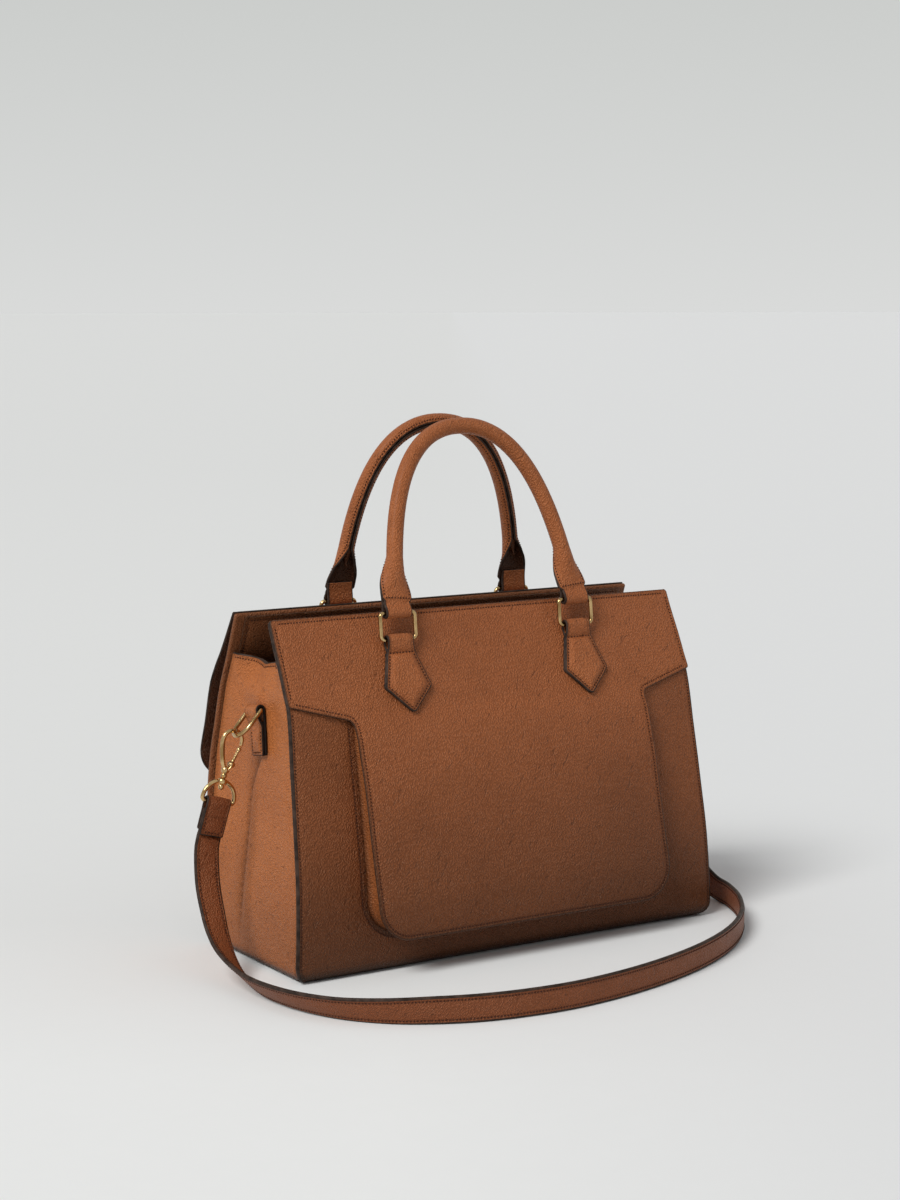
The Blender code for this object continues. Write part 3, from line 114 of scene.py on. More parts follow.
BACK_POCKET_CORNER_RADIUS = 0.020
BACK_POCKET_DEPTH = 0.008
WIRE_RADIUS = 0.0015
WIRE_CLEARANCE = 0.0004
RING_WIDTH = 0.0285
RING_HEIGHT = 0.0190
RING_CORNER_RADIUS = 0.0032
FRONT_RING_LEAN = math.radians(6.0)
BACK_RING_LEAN = math.radians(7.0)
TAB_HALF_SPACING = 0.0765
TAB_WIDEST = 0.195
TAB_TIP = 0.178
TAB_HALF_WIDTH = 0.019
STRIP_HALF_WIDTH = 0.01065
HANDLE_ARCH_HEIGHT = 0.133
HANDLE_ARCH_EXPONENT = 2.18
HANDLE_BULGE_SHARE = -0.034
FRONT_HANDLE_LEAN = math.radians(16.3)
BACK_HANDLE_LEAN = math.radians(11.7)
BACK_HANDLE_SIDE_LEAN_SHARE = -0.053
HANDLE_SHOULDER_HEIGHT = 0.041
SIDE_TAB_PLACE = 0.004
SIDE_TAB_LEAN = math.radians(9)
SIDE_TAB_LENGTH = 0.032
SIDE_TAB_TOP_WIDTH = 0.0185
SIDE_TAB_BOTTOM_WIDTH = 0.0165
SIDE_TAB_THICKNESS = 0.0042
D_RING_WIDTH = 0.0198
D_RING_LENGTH = 0.023
D_RING_CORNER_RADIUS = 0.0018
D_RING_HANG_ANGLE = math.radians(44)
D_BASE_WIDTH = 0.025
D_BASE_HEIGHT = 0.015
D_BASE_CORNER_RADIUS = 0.0025
HUB_HEIGHT = 0.023
CLAW_HALF_WIDTH = 0.0077
CLAW_HEIGHT = 0.0283
CLAW_SHARES = (
    (-0.08, 0.03), (-0.34, 0.13), (-0.60, 0.30), (-0.84, 0.52), (-0.95, 0.72), (-0.82, 0.87),
    (-0.43, 0.965), (0.07, 1.0), (0.55, 0.96), (0.86, 0.86), (0.96, 0.76), (0.96, 0.655),
)
GATE_PIVOT_SHARES = (0.44, 0.16)
STRAP_WIDTH = 0.019
STRAP_THICKNESS = 0.003
STRAP_END_LENGTH = 0.024
STRAP_LYING = STRAP_WIDTH / 2 + 0.0002
STRAP_LEANING = 0.0088
STRAP_ROUTE = (
    # place, and how far its width has turned up and over, in right angles
    (-0.2096, 0.0056, 0.0860, 0.00), (-0.2106, 0.0040, 0.0740, 0.00), (-0.2115, 0.0004, 0.0600, 0.03),
    (-0.2123, -0.0072, 0.0450, 0.10), (-0.2138, -0.0182, 0.0308, 0.22), (-0.2152, -0.0340, 0.0192, 0.36),
    (-0.2162, -0.0550, 0.0122, 0.48), (-0.2156, -0.0790, STRAP_LEANING, 0.55),
    (-0.2126, -0.1078, STRAP_LEANING, 0.58), (-0.2046, -0.1328, STRAP_LEANING, 0.60),
    (-0.1906, -0.1558, STRAP_LEANING, 0.64), (-0.1698, -0.1758, 0.0091, 0.75),
    (-0.1450, -0.1908, 0.0096, 0.90), (-0.1180, -0.2018, STRAP_LYING, 0.98),
    (-0.0870, -0.2085, STRAP_LYING, 1.00), (-0.0490, -0.2112, STRAP_LYING, 1.00),
    (-0.0050, -0.2065, STRAP_LYING, 1.00), (0.0410, -0.1955, STRAP_LYING, 1.00),
    (0.0870, -0.1780, STRAP_LYING, 1.00), (0.1288, -0.1540, STRAP_LYING, 1.00),
    (0.1635, -0.1240, STRAP_LYING, 1.00), (0.1890, -0.0908, STRAP_LYING, 1.00),
    (0.2048, -0.0595, STRAP_LYING, 1.00), (0.2120, -0.0330, 0.0103, 1.04), (0.2142, -0.0118, 0.0165, 1.20),
    (0.2142, 0.0020, 0.0280, 1.46), (0.2136, 0.0070, 0.0425, 1.72), (0.2124, 0.0072, 0.0575, 1.90),
    (0.2110, 0.0064, 0.0725, 1.98), (0.2096, 0.0058, 0.0860, 2.00),
)
STRAP_STEPS = 220
STRAP_BLEND_STEPS = 6  # over which it turns to the directions of its sewn ends

SCENE = bpy.context.scene
ROOT = "bag"
X_AXIS = np.array((1.0, 0.0, 0.0))
Z_AXIS = np.array((0.0, 0.0, 1.0))


# Small mathematics


def unit(v):
    v = np.asarray(v, float)
    return v / np.linalg.norm(v)


def ease(t):
    """From 0 to 1 with soft ends."""
    t = np.clip(t, 0.0, 1.0)
    return t * t * (3 - 2 * t)


def dip(distance, width):
    """A narrow hump of height 1 at distance 0."""
    return np.exp(-(distance / width) ** 2)


def smooth_line(table):
    """A smooth function through a table of (place, value), which never overshoots it."""
    places, values = (np.array(column, float) for column in zip(*table))
    steps = np.diff(places)
    slopes = np.diff(values) / steps
    leans = np.concatenate((slopes[:1], np.zeros(len(slopes) - 1), slopes[-1:]))
    for i in range(1, len(slopes)):
        a, b = slopes[i - 1], slopes[i]
        if a * b > 0:
            wa, wb = 2 * steps[i] + steps[i - 1], steps[i] + 2 * steps[i - 1]
            leans[i] = (wa + wb) / (wa / a + wb / b)

    def value(at):
        at = np.clip(at, places[0], places[-1])
        i = np.clip(np.searchsorted(places, at) - 1, 0, len(steps) - 1)
        t = (at - places[i]) / steps[i]
        rest = 1 - t
        return (
            values[i] * (1 + 2 * t) * rest * rest + values[i + 1] * t * t * (3 - 2 * t)
            + leans[i] * steps[i] * t * rest * rest - leans[i + 1] * steps[i] * t * t * rest
        )
    return value


def shifted(line, distance):
    """A line y(z) moved square to itself, towards +y where the distance is positive."""
    step = 0.0005

    def value(z):
        slope = (line(z + step) - line(z - step)) / (2 * step)
        return line(z) + distance * np.sqrt(1 + slope ** 2)
    return value


TAPER = smooth_line([(z * BODY_HEIGHT, w * BODY_HALF_WIDTH) for z, w in SIDE_TAPER_SHARES])
FRONT = smooth_line([(z * BODY_HEIGHT, -d * BODY_DEPTH) for z, d in FRONT_FACE_SHARES])
BACK = smooth_line([(z * BODY_HEIGHT, d * BODY_DEPTH) for z, d in BACK_FACE_SHARES])
FRONT_INNER = shifted(FRONT, PANEL_THICKNESS + GAP)
BACK_INNER = shifted(BACK, -PANEL_THICKNESS - GAP)
POCKET_SHARE = smooth_line(POCKET_DEPTH_SHARES)
FLAP_SHARE = smooth_line([(z * BODY_HEIGHT, s) for z, s in FLAP_STAND_OFF_SHARES])
FOLD_SHARE = smooth_line([(z * BODY_HEIGHT, s) for z, s in GUSSET_FOLD_SHARES])


def side_width(z):
    """Half of the body's width, with the rounded corner of the base."""
    near = np.clip(BASE_CORNER_RADIUS - z, 0.0, BASE_CORNER_RADIUS)
    return TAPER(z) - BASE_CORNER_RADIUS + np.sqrt(BASE_CORNER_RADIUS ** 2 - near ** 2)


def pocket_depth(z):
    down = (YOKE_SIDE_HEIGHT - z) / (YOKE_SIDE_HEIGHT - POCKET_BOTTOM)
    return POCKET_DEPTH * POCKET_SHARE(np.clip(down, 0.0, 1.0))


def overlay_inner(z):
    return FRONT(z) - GAP - pocket_depth(z)


def yoke_inner(z):
    return BACK(z) + GAP + FLAP_STAND_OFF * FLAP_SHARE(z)


OVERLAY_OUTER = shifted(overlay_inner, -OVERLAY_THICKNESS)
YOKE_OUTER = shifted(yoke_inner, OVERLAY_THICKNESS)


def distance_to(points, line, closed=True):
    """How far points in the pattern are from a line of points."""
    start = line if closed else line[:-1]
    along = (np.roll(line, -1, 0) - line) if closed else line[1:] - line[:-1]
    size = np.maximum((along ** 2).sum(1), 1e-18)
    best = np.empty(len(points))
    for i in range(0, len(points), 1500):
        away = points[i:i + 1500, None] - start
        t = np.clip((away * along).sum(2) / size, 0.0, 1.0)
        best[i:i + 1500] = np.sqrt(((away - t[..., None] * along) ** 2).sum(2)).min(1)
    return best


def inside(points, loop):
    x, y = points.T
    odd = np.zeros(len(points), bool)
    for (ax, ay), (bx, by) in zip(loop, np.roll(loop, -1, 0)):
        if ay != by:
            odd ^= ((ay > y) != (by > y)) & (x < (bx - ax) * (y - ay) / (by - ay) + ax)
    return odd


def left_of(direction):
    return np.array((-direction[1], direction[0]))


def rounded_outline(corners, spacing):
    """An anticlockwise outline through corners (a, b, radius): its points and their inward directions."""
    places = [np.array(c[:2], float) for c in corners]
    arcs = []
    for i, here in enumerate(places):
        before = unit(here - places[i - 1])
        after = unit(places[(i + 1) % len(places)] - here)
        turn = math.atan2(before[0] * after[1] - before[1] * after[0], before @ after)
        radius = corners[i][2]
        if radius == 0 or abs(turn) < 1e-4:
            middle = left_of(before) + left_of(after)
            arcs.append(([here], [middle / (1 + before @ after)]))
            continue
        bend = math.copysign(1, turn)
        start = here - before * radius * math.tan(abs(turn) / 2)
        centre = start + bend * left_of(before) * radius
        count = max(3, math.ceil(abs(turn) / math.radians(14)), math.ceil(radius * abs(turn) / spacing))
        spots, inwards = [], []
        for k in range(count + 1):
            angle = turn * k / count
            c, s = math.cos(angle), math.sin(angle)
            a, b = start - centre
            spoke = np.array((a * c - b * s, a * s + b * c))
            spots.append(centre + spoke)
            inwards.append(-bend * spoke / radius)
        arcs.append((spots, inwards))
    points, inward = [], []
    for (spots, inwards), (following, _) in zip(arcs, arcs[1:] + arcs[:1]):
        points += spots
        inward += inwards
        gap = following[0] - spots[-1]
        length = np.linalg.norm(gap)
        count = math.ceil(length / spacing)
        for k in range(1, count):
            points.append(spots[-1] + gap * k / count)
            inward.append(left_of(gap / length))
    return np.array(points), np.array(inward)


def normals(surface, at):
    """Which way a surface faces at places of its pattern."""
    step = 0.0002
    across = surface(at + (step, 0.0)) - surface(at - (step, 0.0))
    up = surface(at + (0.0, step)) - surface(at - (0.0, step))
    n = np.cross(across, up)
    return n / np.linalg.norm(n, axis=1)[:, None]


def waves(at, seed, length):
    """Gentle unevenness of leather between -1 and 1."""
    rng = np.random.default_rng(seed)
    total = np.zeros(len(at))
    for _ in range(5):
        angle, phase = rng.uniform(0, math.pi), rng.uniform(0, math.tau)
        wave = math.tau / (length * rng.uniform(0.7, 1.5))
        total += np.sin(wave * (at @ np.array((math.cos(angle), math.sin(angle)))) + phase)
    return total / 3.5


# Materials


def socket(colour):
    """A colour given by its screen values from 0 to 255, as Blender's linear colour."""
    linear = [((c / 255 + 0.055) / 1.055) ** 2.4 if c > 10 else c / 255 / 12.92 for c in colour]
    return (*linear, 1.0)


class Shader:
    """A material whose nodes are written one to a line."""

    def __init__(self, name, **fixed):
        self.material = bpy.data.materials.new(name)
        self.material.use_nodes = True
        self.tree = self.material.node_tree
        self.surface = self.tree.nodes["Principled BSDF"]
        self.where = self.add("TexCoord").outputs["Object"]
        for key, value in fixed.items():
            self.surface.inputs[key.replace("_", " ")].default_value = value

    def add(self, kind, sockets=None, **settings):
        node = self.tree.nodes.new("ShaderNode" + kind)
        for key, value in settings.items():
            setattr(node, key, value)
        for key, value in (sockets or {}).items():
            if isinstance(value, bpy.types.NodeSocket):
                self.tree.links.new(value, node.inputs[key])
            else:
                node.inputs[key].default_value = value
        return node

    def noise(self, scale, detail=2.0, where=None):
        sockets = {"Vector": where or self.where, "Scale": scale, "Detail": detail}
        return self.add("TexNoise", sockets).outputs["Fac"]

    def range(self, value, low, high, to_low=0.0, to_high=1.0):
        return self.add("MapRange", {
            "Value": value, "From Min": low, "From Max": high, "To Min": to_low, "To Max": to_high,
        }).outputs["Result"]

    def math(self, kind, a, b):
        return self.add("Math", {0: a, 1: b}, operation=kind).outputs[0]

    def mix(self, factor, a, b):
        return self.add("Mix", {0: factor, 6: a, 7: b}, data_type="RGBA").outputs[2]

    def stretched(self, scale, turn=(0.0, 0.0, 0.0)):
        """Coordinates in which a pattern is drawn out by the scale along axes turned by the angles."""
        sockets = {"Vector": self.where, "Scale": scale, "Rotation": turn}
        return self.add("Mapping", sockets, vector_type="TEXTURE").outputs["Vector"]

    def colour(self, value):
        self.tree.links.new(value, self.surface.inputs["Base Color"])

    def rough(self, value):
        self.tree.links.new(value, self.surface.inputs["Roughness"])

    def bump(self, height, strength, distance):
        bump = self.add("Bump", {"Height": height, "Strength": strength, "Distance": distance})
        self.tree.links.new(bump.outputs["Normal"], self.surface.inputs["Normal"])


FRONT_GRAIN_TURN = (0.0, math.radians(-57), 0.0)
SIDE_GRAIN_TURN = (math.radians(-128), 0.0, 0.0)
GRAIN_DEPTH = 0.00058


def pebbled_leather(name, tones, grain=820.0, stretch=(1.5, 1.0, 1.0), turn=FRONT_GRAIN_TURN):
    """Full grain leather: drawn out pebbles in slanting rows and mottled dye. The pebble tops are lightened
    as a painted highlight, and the valleys and creases are darkened, partly by the dye and partly as painted
    shade.

    The tones are the dye's high, middle and low places, and the dark tone that the shade attribute mixes in:
    worn edges, and painted shade in seams, creases, recesses and low parts.
    """
    high, middle, low, wear_and_shade_tone = (socket(t) for t in tones)
    s = Shader(name, IOR=1.47, Specular_IOR_Level=0.36, Coat_Weight=0.05, Coat_Roughness=0.25)
    s.surface.inputs["Specular Tint"].default_value = (1.0, 0.78, 0.56, 1.0)
    wander = s.add("TexNoise", {"Vector": s.where, "Scale": 150.0, "Detail": 1.0}).outputs["Color"]
    bent = s.add("VectorMath", {0: wander, 1: (0.0018, 0.0018, 0.0018)}, operation="MULTIPLY").outputs[0]
    place = s.add("VectorMath", {0: s.stretched(stretch, turn), 1: bent}, operation="ADD").outputs[0]
    cells = s.add(
        "TexVoronoi", {"Vector": place, "Scale": grain, "Smoothness": 0.2, "Randomness": 0.7},
        feature="SMOOTH_F1",
    ).outputs["Distance"]
    pebble = s.range(cells, 0.12, 0.66, 1.0, 0.0)
    fine = s.noise(2600.0, 2.0)
    creases = s.range(s.noise(260.0, 2.0, s.stretched((2.6, 1.0, 1.0), turn)), 0.62, 0.72, 0.0, 1.0)
    raised = s.math("ADD", pebble, s.math("MULTIPLY", fine, 0.25))
    relief = s.math("SUBTRACT", raised, s.math("MULTIPLY", creases, 0.8))
    mottle = s.range(s.noise(60.0, 4.0), 0.30, 0.70)
    patches = s.range(s.noise(12.0, 2.0), 0.32, 0.68)
    base = s.mix(s.math("MULTIPLY", mottle, 0.24), middle, low)
    base = s.mix(s.math("MULTIPLY", patches, 0.22), base, high)
    # Painted highlight: pebble tops lightened towards the high tone.
    painted_highlight_tops = s.mix(s.range(cells, 0.10, 0.40, 0.20, 0.0), base, high)
    # Valleys and creases darkened, partly the dye and partly painted shade.
    valleys_dye_and_shade = s.mix(s.range(cells, 0.42, 0.66, 0.0, 0.42), painted_highlight_tops, low)
    valleys_dye_and_shade = s.mix(s.math("MULTIPLY", creases, 0.35), valleys_dye_and_shade, low)
    shade = s.add("Attribute", attribute_name="shade").outputs["Fac"]
    # The shade attribute mixes in the dark tone: worn edges, and painted shade in seams, creases, recesses
    # and low parts.
    s.colour(s.mix(shade, valleys_dye_and_shade, wear_and_shade_tone))
    s.rough(s.range(s.math("ADD", cells, s.math("MULTIPLY", mottle, 0.25)), 0.1, 1.0, 0.34, 0.56))
    s.bump(relief, 1.0, GRAIN_DEPTH)
    return s.material


def edge_paint(name, light, dark):
    """The dark paint on a cut edge, a little wavy."""
    s = Shader(name, IOR=1.45, Specular_IOR_Level=0.16)
    tone = s.range(s.noise(180.0, 3.0), 0.35, 0.65)
    s.colour(s.mix(tone, socket(light), socket(dark)))
    s.rough(s.range(s.noise(700.0, 2.0), 0.3, 0.7, 0.45, 0.62))
    s.bump(s.noise(900.0, 3.0), 0.4, 0.0001)
    return s.material


def thread_material(name, light, dark):
    """Twisted sewing thread."""
    s = Shader(name, Specular_IOR_Level=0.2)
    ply = s.add("TexWave", {
        "Vector": s.stretched((1.0, 1.0, 1.0), (0.5, 0.6, 0.4)), "Scale": 900.0, "Distortion": 1.0,
    }).outputs["Fac"]
    s.colour(s.mix(ply, socket(light), socket(dark)))
    s.rough(s.range(s.noise(1500.0), 0.3, 0.7, 0.55, 0.75))
    s.bump(ply, 0.5, 0.0001)
    return s.material


def woven_cloth():
    """The plain woven lining."""
    s = Shader("lining_cloth", Sheen_Weight=0.1)
    warp = s.add("TexWave", {"Vector": s.where, "Scale": 520.0}, bands_direction="X").outputs["Fac"]
    weft = s.add("TexWave", {"Vector": s.where, "Scale": 520.0}, bands_direction="Z").outputs["Fac"]
    weave = s.math("MULTIPLY", warp, weft)
    cloth = s.mix(weave, socket((58, 38, 26)), socket((94, 68, 48)))
    s.colour(s.mix(s.range(s.noise(40.0, 3.0), 0.35, 0.65, 0.0, 0.35), cloth, socket((48, 30, 20))))
    s.rough(s.range(weave, 0.0, 1.0, 0.9, 0.75))
    s.bump(weave, 0.6, 0.00025)
    return s.material


def polished_metal():
    """Polished pale gold with fine wear."""
    s = Shader("pale_gold_metal", Metallic=1.0)
    tone = s.range(s.noise(90.0, 3.0), 0.35, 0.65)
    s.colour(s.mix(tone, socket((208, 176, 126)), socket((152, 120, 76))))
    scratches = s.noise(600.0, 3.0, s.stretched((1.0, 1.0, 0.2)))
    s.rough(s.range(scratches, 0.3, 0.7, 0.07, 0.18))
    s.bump(s.noise(420.0, 2.0), 0.12, 0.0001)
    return s.material


def fibre_board():
    s = Shader("fibre_board")
    fibres = s.noise(700.0, 4.0, s.stretched((1.0, 0.2, 1.0)))
    s.colour(s.mix(fibres, socket((96, 82, 66)), socket((60, 50, 40))))
    s.rough(s.range(fibres, 0.3, 0.7, 0.75, 0.9))
    s.bump(fibres, 0.4, 0.0002)
    return s.material


FRONT_LEATHER = pebbled_leather("front_leather", ((186, 110, 66), (152, 86, 48), (106, 56, 29), (46, 21, 9)))
TAN_LEATHER = pebbled_leather("tan_leather", ((192, 116, 70), (158, 90, 50), (116, 62, 32), (56, 27, 12)))
GUSSET_LEATHER = pebbled_leather(
    "gusset_leather", ((208, 128, 70), (176, 102, 54), (130, 70, 34), (64, 30, 13)), 860.0, (1.0, 1.0, 1.7),
    SIDE_GRAIN_TURN,
)
STRAP_LEATHER, DARK_LEATHER, INNER_LEATHER = (
    pebbled_leather(name, tones, 900.0) for name, tones in (
        ("strap_leather", ((160, 92, 56), (128, 70, 40), (92, 48, 26), (44, 21, 10))),
        ("dark_leather", ((104, 56, 32), (80, 42, 24), (58, 29, 16), (32, 15, 8))),
        ("inner_leather", ((164, 100, 60), (136, 80, 46), (100, 56, 31), (50, 25, 12))),
    )
)
PAINT = edge_paint("edge_paint", (66, 51, 43), (38, 28, 22))
DARK_PAINT = edge_paint("dark_edge_paint", (34, 25, 20), (20, 14, 11))
THREAD = thread_material("seam_thread", (70, 32, 17), (44, 19, 10))
CLOTH = woven_cloth()
METAL = polished_metal()
BOARD = fibre_board()


# Meshes


def put(name, points, faces, finishes, indices=None, shade=None):
    """A smooth shaded object of its own, whose faces take the finishes by their indices."""
    mesh = bpy.data.meshes.new(name)
    mesh.from_pydata([tuple(p) for p in points], [], faces)
    for finish in finishes:
        mesh.materials.append(finish)
    if indices is not None:
        mesh.polygons.foreach_set("material_index", np.asarray(indices, np.int32))
    mesh.polygons.foreach_set("use_smooth", np.ones(len(mesh.polygons), bool))
    if shade is not None:
        shades = mesh.attributes.new("shade", "FLOAT", "POINT")
        shades.data.foreach_set("value", np.asarray(shade, np.float32))
    mesh.update()
    item = bpy.data.objects.new(name, mesh)
    SCENE.collection.objects.link(item)
    return item


def settle(item, body, slot, *nodes):
    """Attaches a piece to the body it rides on and hides the nodes it stands for. The slot, its finish, is
    not used.
    """
    if body is not None:
        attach(item, body)
    if nodes:
        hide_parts(*nodes)
    return item


def triangulated(loop, extra):
    """Triangles of a closed loop and the points inside it. The loop's points stay first, in order."""
    points = np.concatenate((loop, extra))
    count = len(loop)
    edges = [(i, (i + 1) % count) for i in range(count)]
    made = delaunay_2d_cdt([Vector(p) for p in points], edges, [], 1, 1e-8)
    places, faces, sources = made[0], made[2], made[3]
    new_index = {}
    extra_places = []
    for place, source in zip(places, sources):
        first = min(source) if source else None
        if first is not None and first < count:
            new_index[len(new_index)] = first
        else:
            new_index[len(new_index)] = count + len(extra_places)
            extra_places.append(place)
    triangles = [tuple(new_index[i] for i in face) for face in faces]
    return np.concatenate((loop, np.array(extra_places).reshape(-1, 2))), triangles


RIM_STEPS = 6
SEAM_DEPTH = 0.003
PAINT_LAP = 0.00005
GROOVE_ROWS = (-0.0018, -0.0009, -0.0004, 0.0, 0.0004, 0.0009, 0.0018)


class Sheet:
    """A leather sheet cut to an outline, laid on a surface, with its painted edge, seams and thickness."""

    grid = 0.006  # between the points of the face
    depths = (0.0011, 0.0019, 0.0025, 0.0030, 0.0035, 0.0044, 0.0060, 0.0085)  # of the rows along the edge
    edge_seam = SEAM_DEPTH
    groove, puff = 0.00028, 0.0004  # how deep a seam pulls in, and how far the leather swells beside it
    waviness = (0.00025, 0.09, 1)  # height, length and seed of its unevenness
    fade = 1.0  # how dark its edge and seam are
    grooves = ()
    extra_relief = extra_shade = None

    def __init__(self, corners, surface, thickness, lift, spacing=0.003, **looks):
        self.surface, self.thickness, self.lift = surface, thickness, lift
        self.outline, self.inward = rounded_outline(corners, spacing)
        self.rim = thickness / 2
        for key, value in looks.items():
            setattr(self, key, value)

    def relief(self, at, depth):
        """How far the surface stands above the flat sheet."""
        height = self.puff * ease((depth - self.edge_seam) / 0.005)
        height -= self.groove * dip(depth - self.edge_seam, 0.0007)
        height += 0.00012 * dip(depth - self.edge_seam / 2, 0.0008)
        for line in self.grooves:
            near = distance_to(at, line, closed=False)
            height -= self.groove * dip(near, 0.0007)
        size, length, seed = self.waviness
        height += size * waves(at, seed, length) * ease((depth - 0.002) / 0.02)
        if self.extra_relief is not None:
            height += self.extra_relief(at, depth)
        return height * ease((depth - self.rim) / 0.0008)

    def shading(self, at, depth):
        """How much darker the colour is made: at edges, as painted shade in seams and grooves, and where the
        piece itself says so.
        """
        dark = 0.55 * self.fade * (1 - ease(depth / 0.0026))
        # Painted shade in the groove of the edge seam.
        dark += 0.2 * self.fade * dip(depth - self.edge_seam, 0.0006)
        # Painted shade along the other seam grooves.
        for line in self.grooves:
            dark = np.maximum(dark, 0.25 * dip(distance_to(at, line, closed=False), 0.0008))
        if self.extra_shade is not None:
            dark = dark + self.extra_shade(at, depth)
        return np.clip(dark, 0.0, 1.0)

    def at(self, places, height):
        places = np.asarray(places, float)
        out = normals(self.surface, places)
        return self.surface(places) + out * (self.lift + np.asarray(height))[:, None]

    def on_top(self, places):
        """Points on the finished face, and which way it faces there."""
        depth = distance_to(places, self.outline)
        return self.at(places, self.rim + self.relief(places, depth)), normals(self.surface, places)

    def inset(self, depth, keep=None):
        """Runs of places at a depth from the outline, where keep is true of them."""
        line = self.outline + self.inward * depth
        good = distance_to(line, self.outline) >= depth * 0.985
        if keep is not None:
            good &= keep(line)
        if good.all():
            return [np.concatenate((line, line[:1]))]
        start = int(np.argmin(good))
        runs, run = [], []
        for k in range(1, len(line) + 1):
            i = (start + k) % len(line)
            if good[i]:
                run.append(line[i])
            elif run:
                runs.append(np.array(run))
                run = []
        return [r for r in runs if len(r) > 3]

    def spread(self, pitch, depth):
        """Places of a triangular grid which are deeper than depth inside the outline."""
        low, high = self.outline.min(0), self.outline.max(0)
        spots = []
        for k, z in enumerate(np.arange(low[1] + pitch / 2, high[1], pitch * math.sqrt(3) / 2)):
            row = np.arange(low[0] + (pitch / 2 if k % 2 else 0), high[0], pitch)
            spots.append(np.stack((row, np.full(len(row), z)), 1))
        spots = np.concatenate(spots)
        spots = spots[inside(spots, self.outline)]
        return spots[distance_to(spots, self.outline) > depth]

    def make(self, name, finish, back_finish=None, paint=PAINT, painted=(1, RIM_STEPS)):
        """The sheet as an object. Painted says which rows round its rim have the paint's finish."""
        pitch = self.grid
        loop = self.outline + self.inward * self.rim
        extras = []
        for depth in self.depths:
            if depth > self.rim * 1.15:
                ring = self.outline + self.inward * depth
                extras.append(ring[distance_to(ring, self.outline) >= depth * 0.985])
        extras.append(self.spread(pitch, self.depths[-1] + pitch * 0.55))
        for line in self.grooves:
            way = np.gradient(line, axis=0)
            way /= np.linalg.norm(way, axis=1)[:, None]
            beside = np.stack((-way[:, 1], way[:, 0]), 1)
            extras += [line + beside * off for off in GROOVE_ROWS]
        extra = np.concatenate(extras)
        extra = extra[distance_to(extra, self.outline) > self.rim * 1.1]
        top, top_faces = triangulated(loop, extra)
        under, under_faces = triangulated(loop, self.spread(pitch * 2, self.rim + pitch * 0.8))
        count = len(loop)
        top_depth = distance_to(top, self.outline)
        points = [self.at(top, self.rim + self.relief(top, top_depth))]
        shade = [self.shading(top, top_depth)]
        faces = [tuple(f) for f in top_faces]
        lap = self.rim + PAINT_LAP
        indices = [int(top_depth[list(f)].max() < lap) for f in top_faces]
        total = len(top)
        before = list(range(count))
        for k in range(1, RIM_STEPS):
            angle = math.pi / 2 - math.pi * k / RIM_STEPS
            places = self.outline + self.inward * self.rim * (1 - math.cos(angle))
            points.append(self.at(places, np.full(count, self.rim * math.sin(angle))))
            in_paint = painted[0] <= k <= painted[1]
            shade.append(np.full(count, 0.85 if in_paint or k < painted[0] else 0.2))
            ring = list(range(total, total + count))
            faces += [
                (before[i], ring[i], ring[(i + 1) % count], before[(i + 1) % count]) for i in range(count)
            ]
            indices += [1 if in_paint else 0 if k < painted[0] else 2] * count
            total += count
            before = ring
        points.append(self.at(under, np.full(len(under), -self.rim)))
        shade.append(np.full(len(under), 0.2))
        faces += [
            (before[i], total + i, total + (i + 1) % count, before[(i + 1) % count]) for i in range(count)
        ]
        indices += [1 if painted[1] == RIM_STEPS else 2] * count
        faces += [tuple(total + i for i in reversed(f)) for f in under_faces]
        indices += [2] * len(under_faces)
        finishes = [finish, paint, back_finish or finish]
        return put(name, np.concatenate(points), faces, finishes, indices, np.concatenate(shade))


def even_line(points, facing, pitch):
    """Points, directions and facings evenly spaced along a line, one for each stitch."""
    steps = np.linalg.norm(np.diff(points, axis=0), axis=1)
    reach = np.concatenate(((0.0,), np.cumsum(steps)))
    count = max(1, int(reach[-1] / pitch))
    wanted = (np.arange(count) + 0.5) * reach[-1] / count
    spots = np.stack([np.interp(wanted, reach, points[:, k]) for k in range(3)], 1)
    faces = np.stack([np.interp(wanted, reach, facing[:, k]) for k in range(3)], 1)
    ahead = np.stack([np.interp(wanted + pitch * 0.4, reach, points[:, k]) for k in range(3)], 1)
    behind = np.stack([np.interp(wanted - pitch * 0.4, reach, points[:, k]) for k in range(3)], 1)
    way = ahead - behind
    way /= np.maximum(np.linalg.norm(way, axis=1), 1e-9)[:, None]
    faces /= np.maximum(np.linalg.norm(faces, axis=1), 1e-9)[:, None]
    return spots, way, faces


STITCH_PITCH = 0.0023
STITCH_LENGTH = 0.0014
STITCH_RADIUS = 0.00045
STITCH_SLANT = 0.25
STITCH_STATIONS = (
    # shares of its length, height over the leather, share of its radius
    (-0.5, -0.00025, 0.35), (-0.30, 0.00008, 0.95), (0.0, 0.00017, 1.1), (0.30, 0.00008, 0.95),
    (0.5, -0.00025, 0.35),
)
STITCH_SIDES = 5


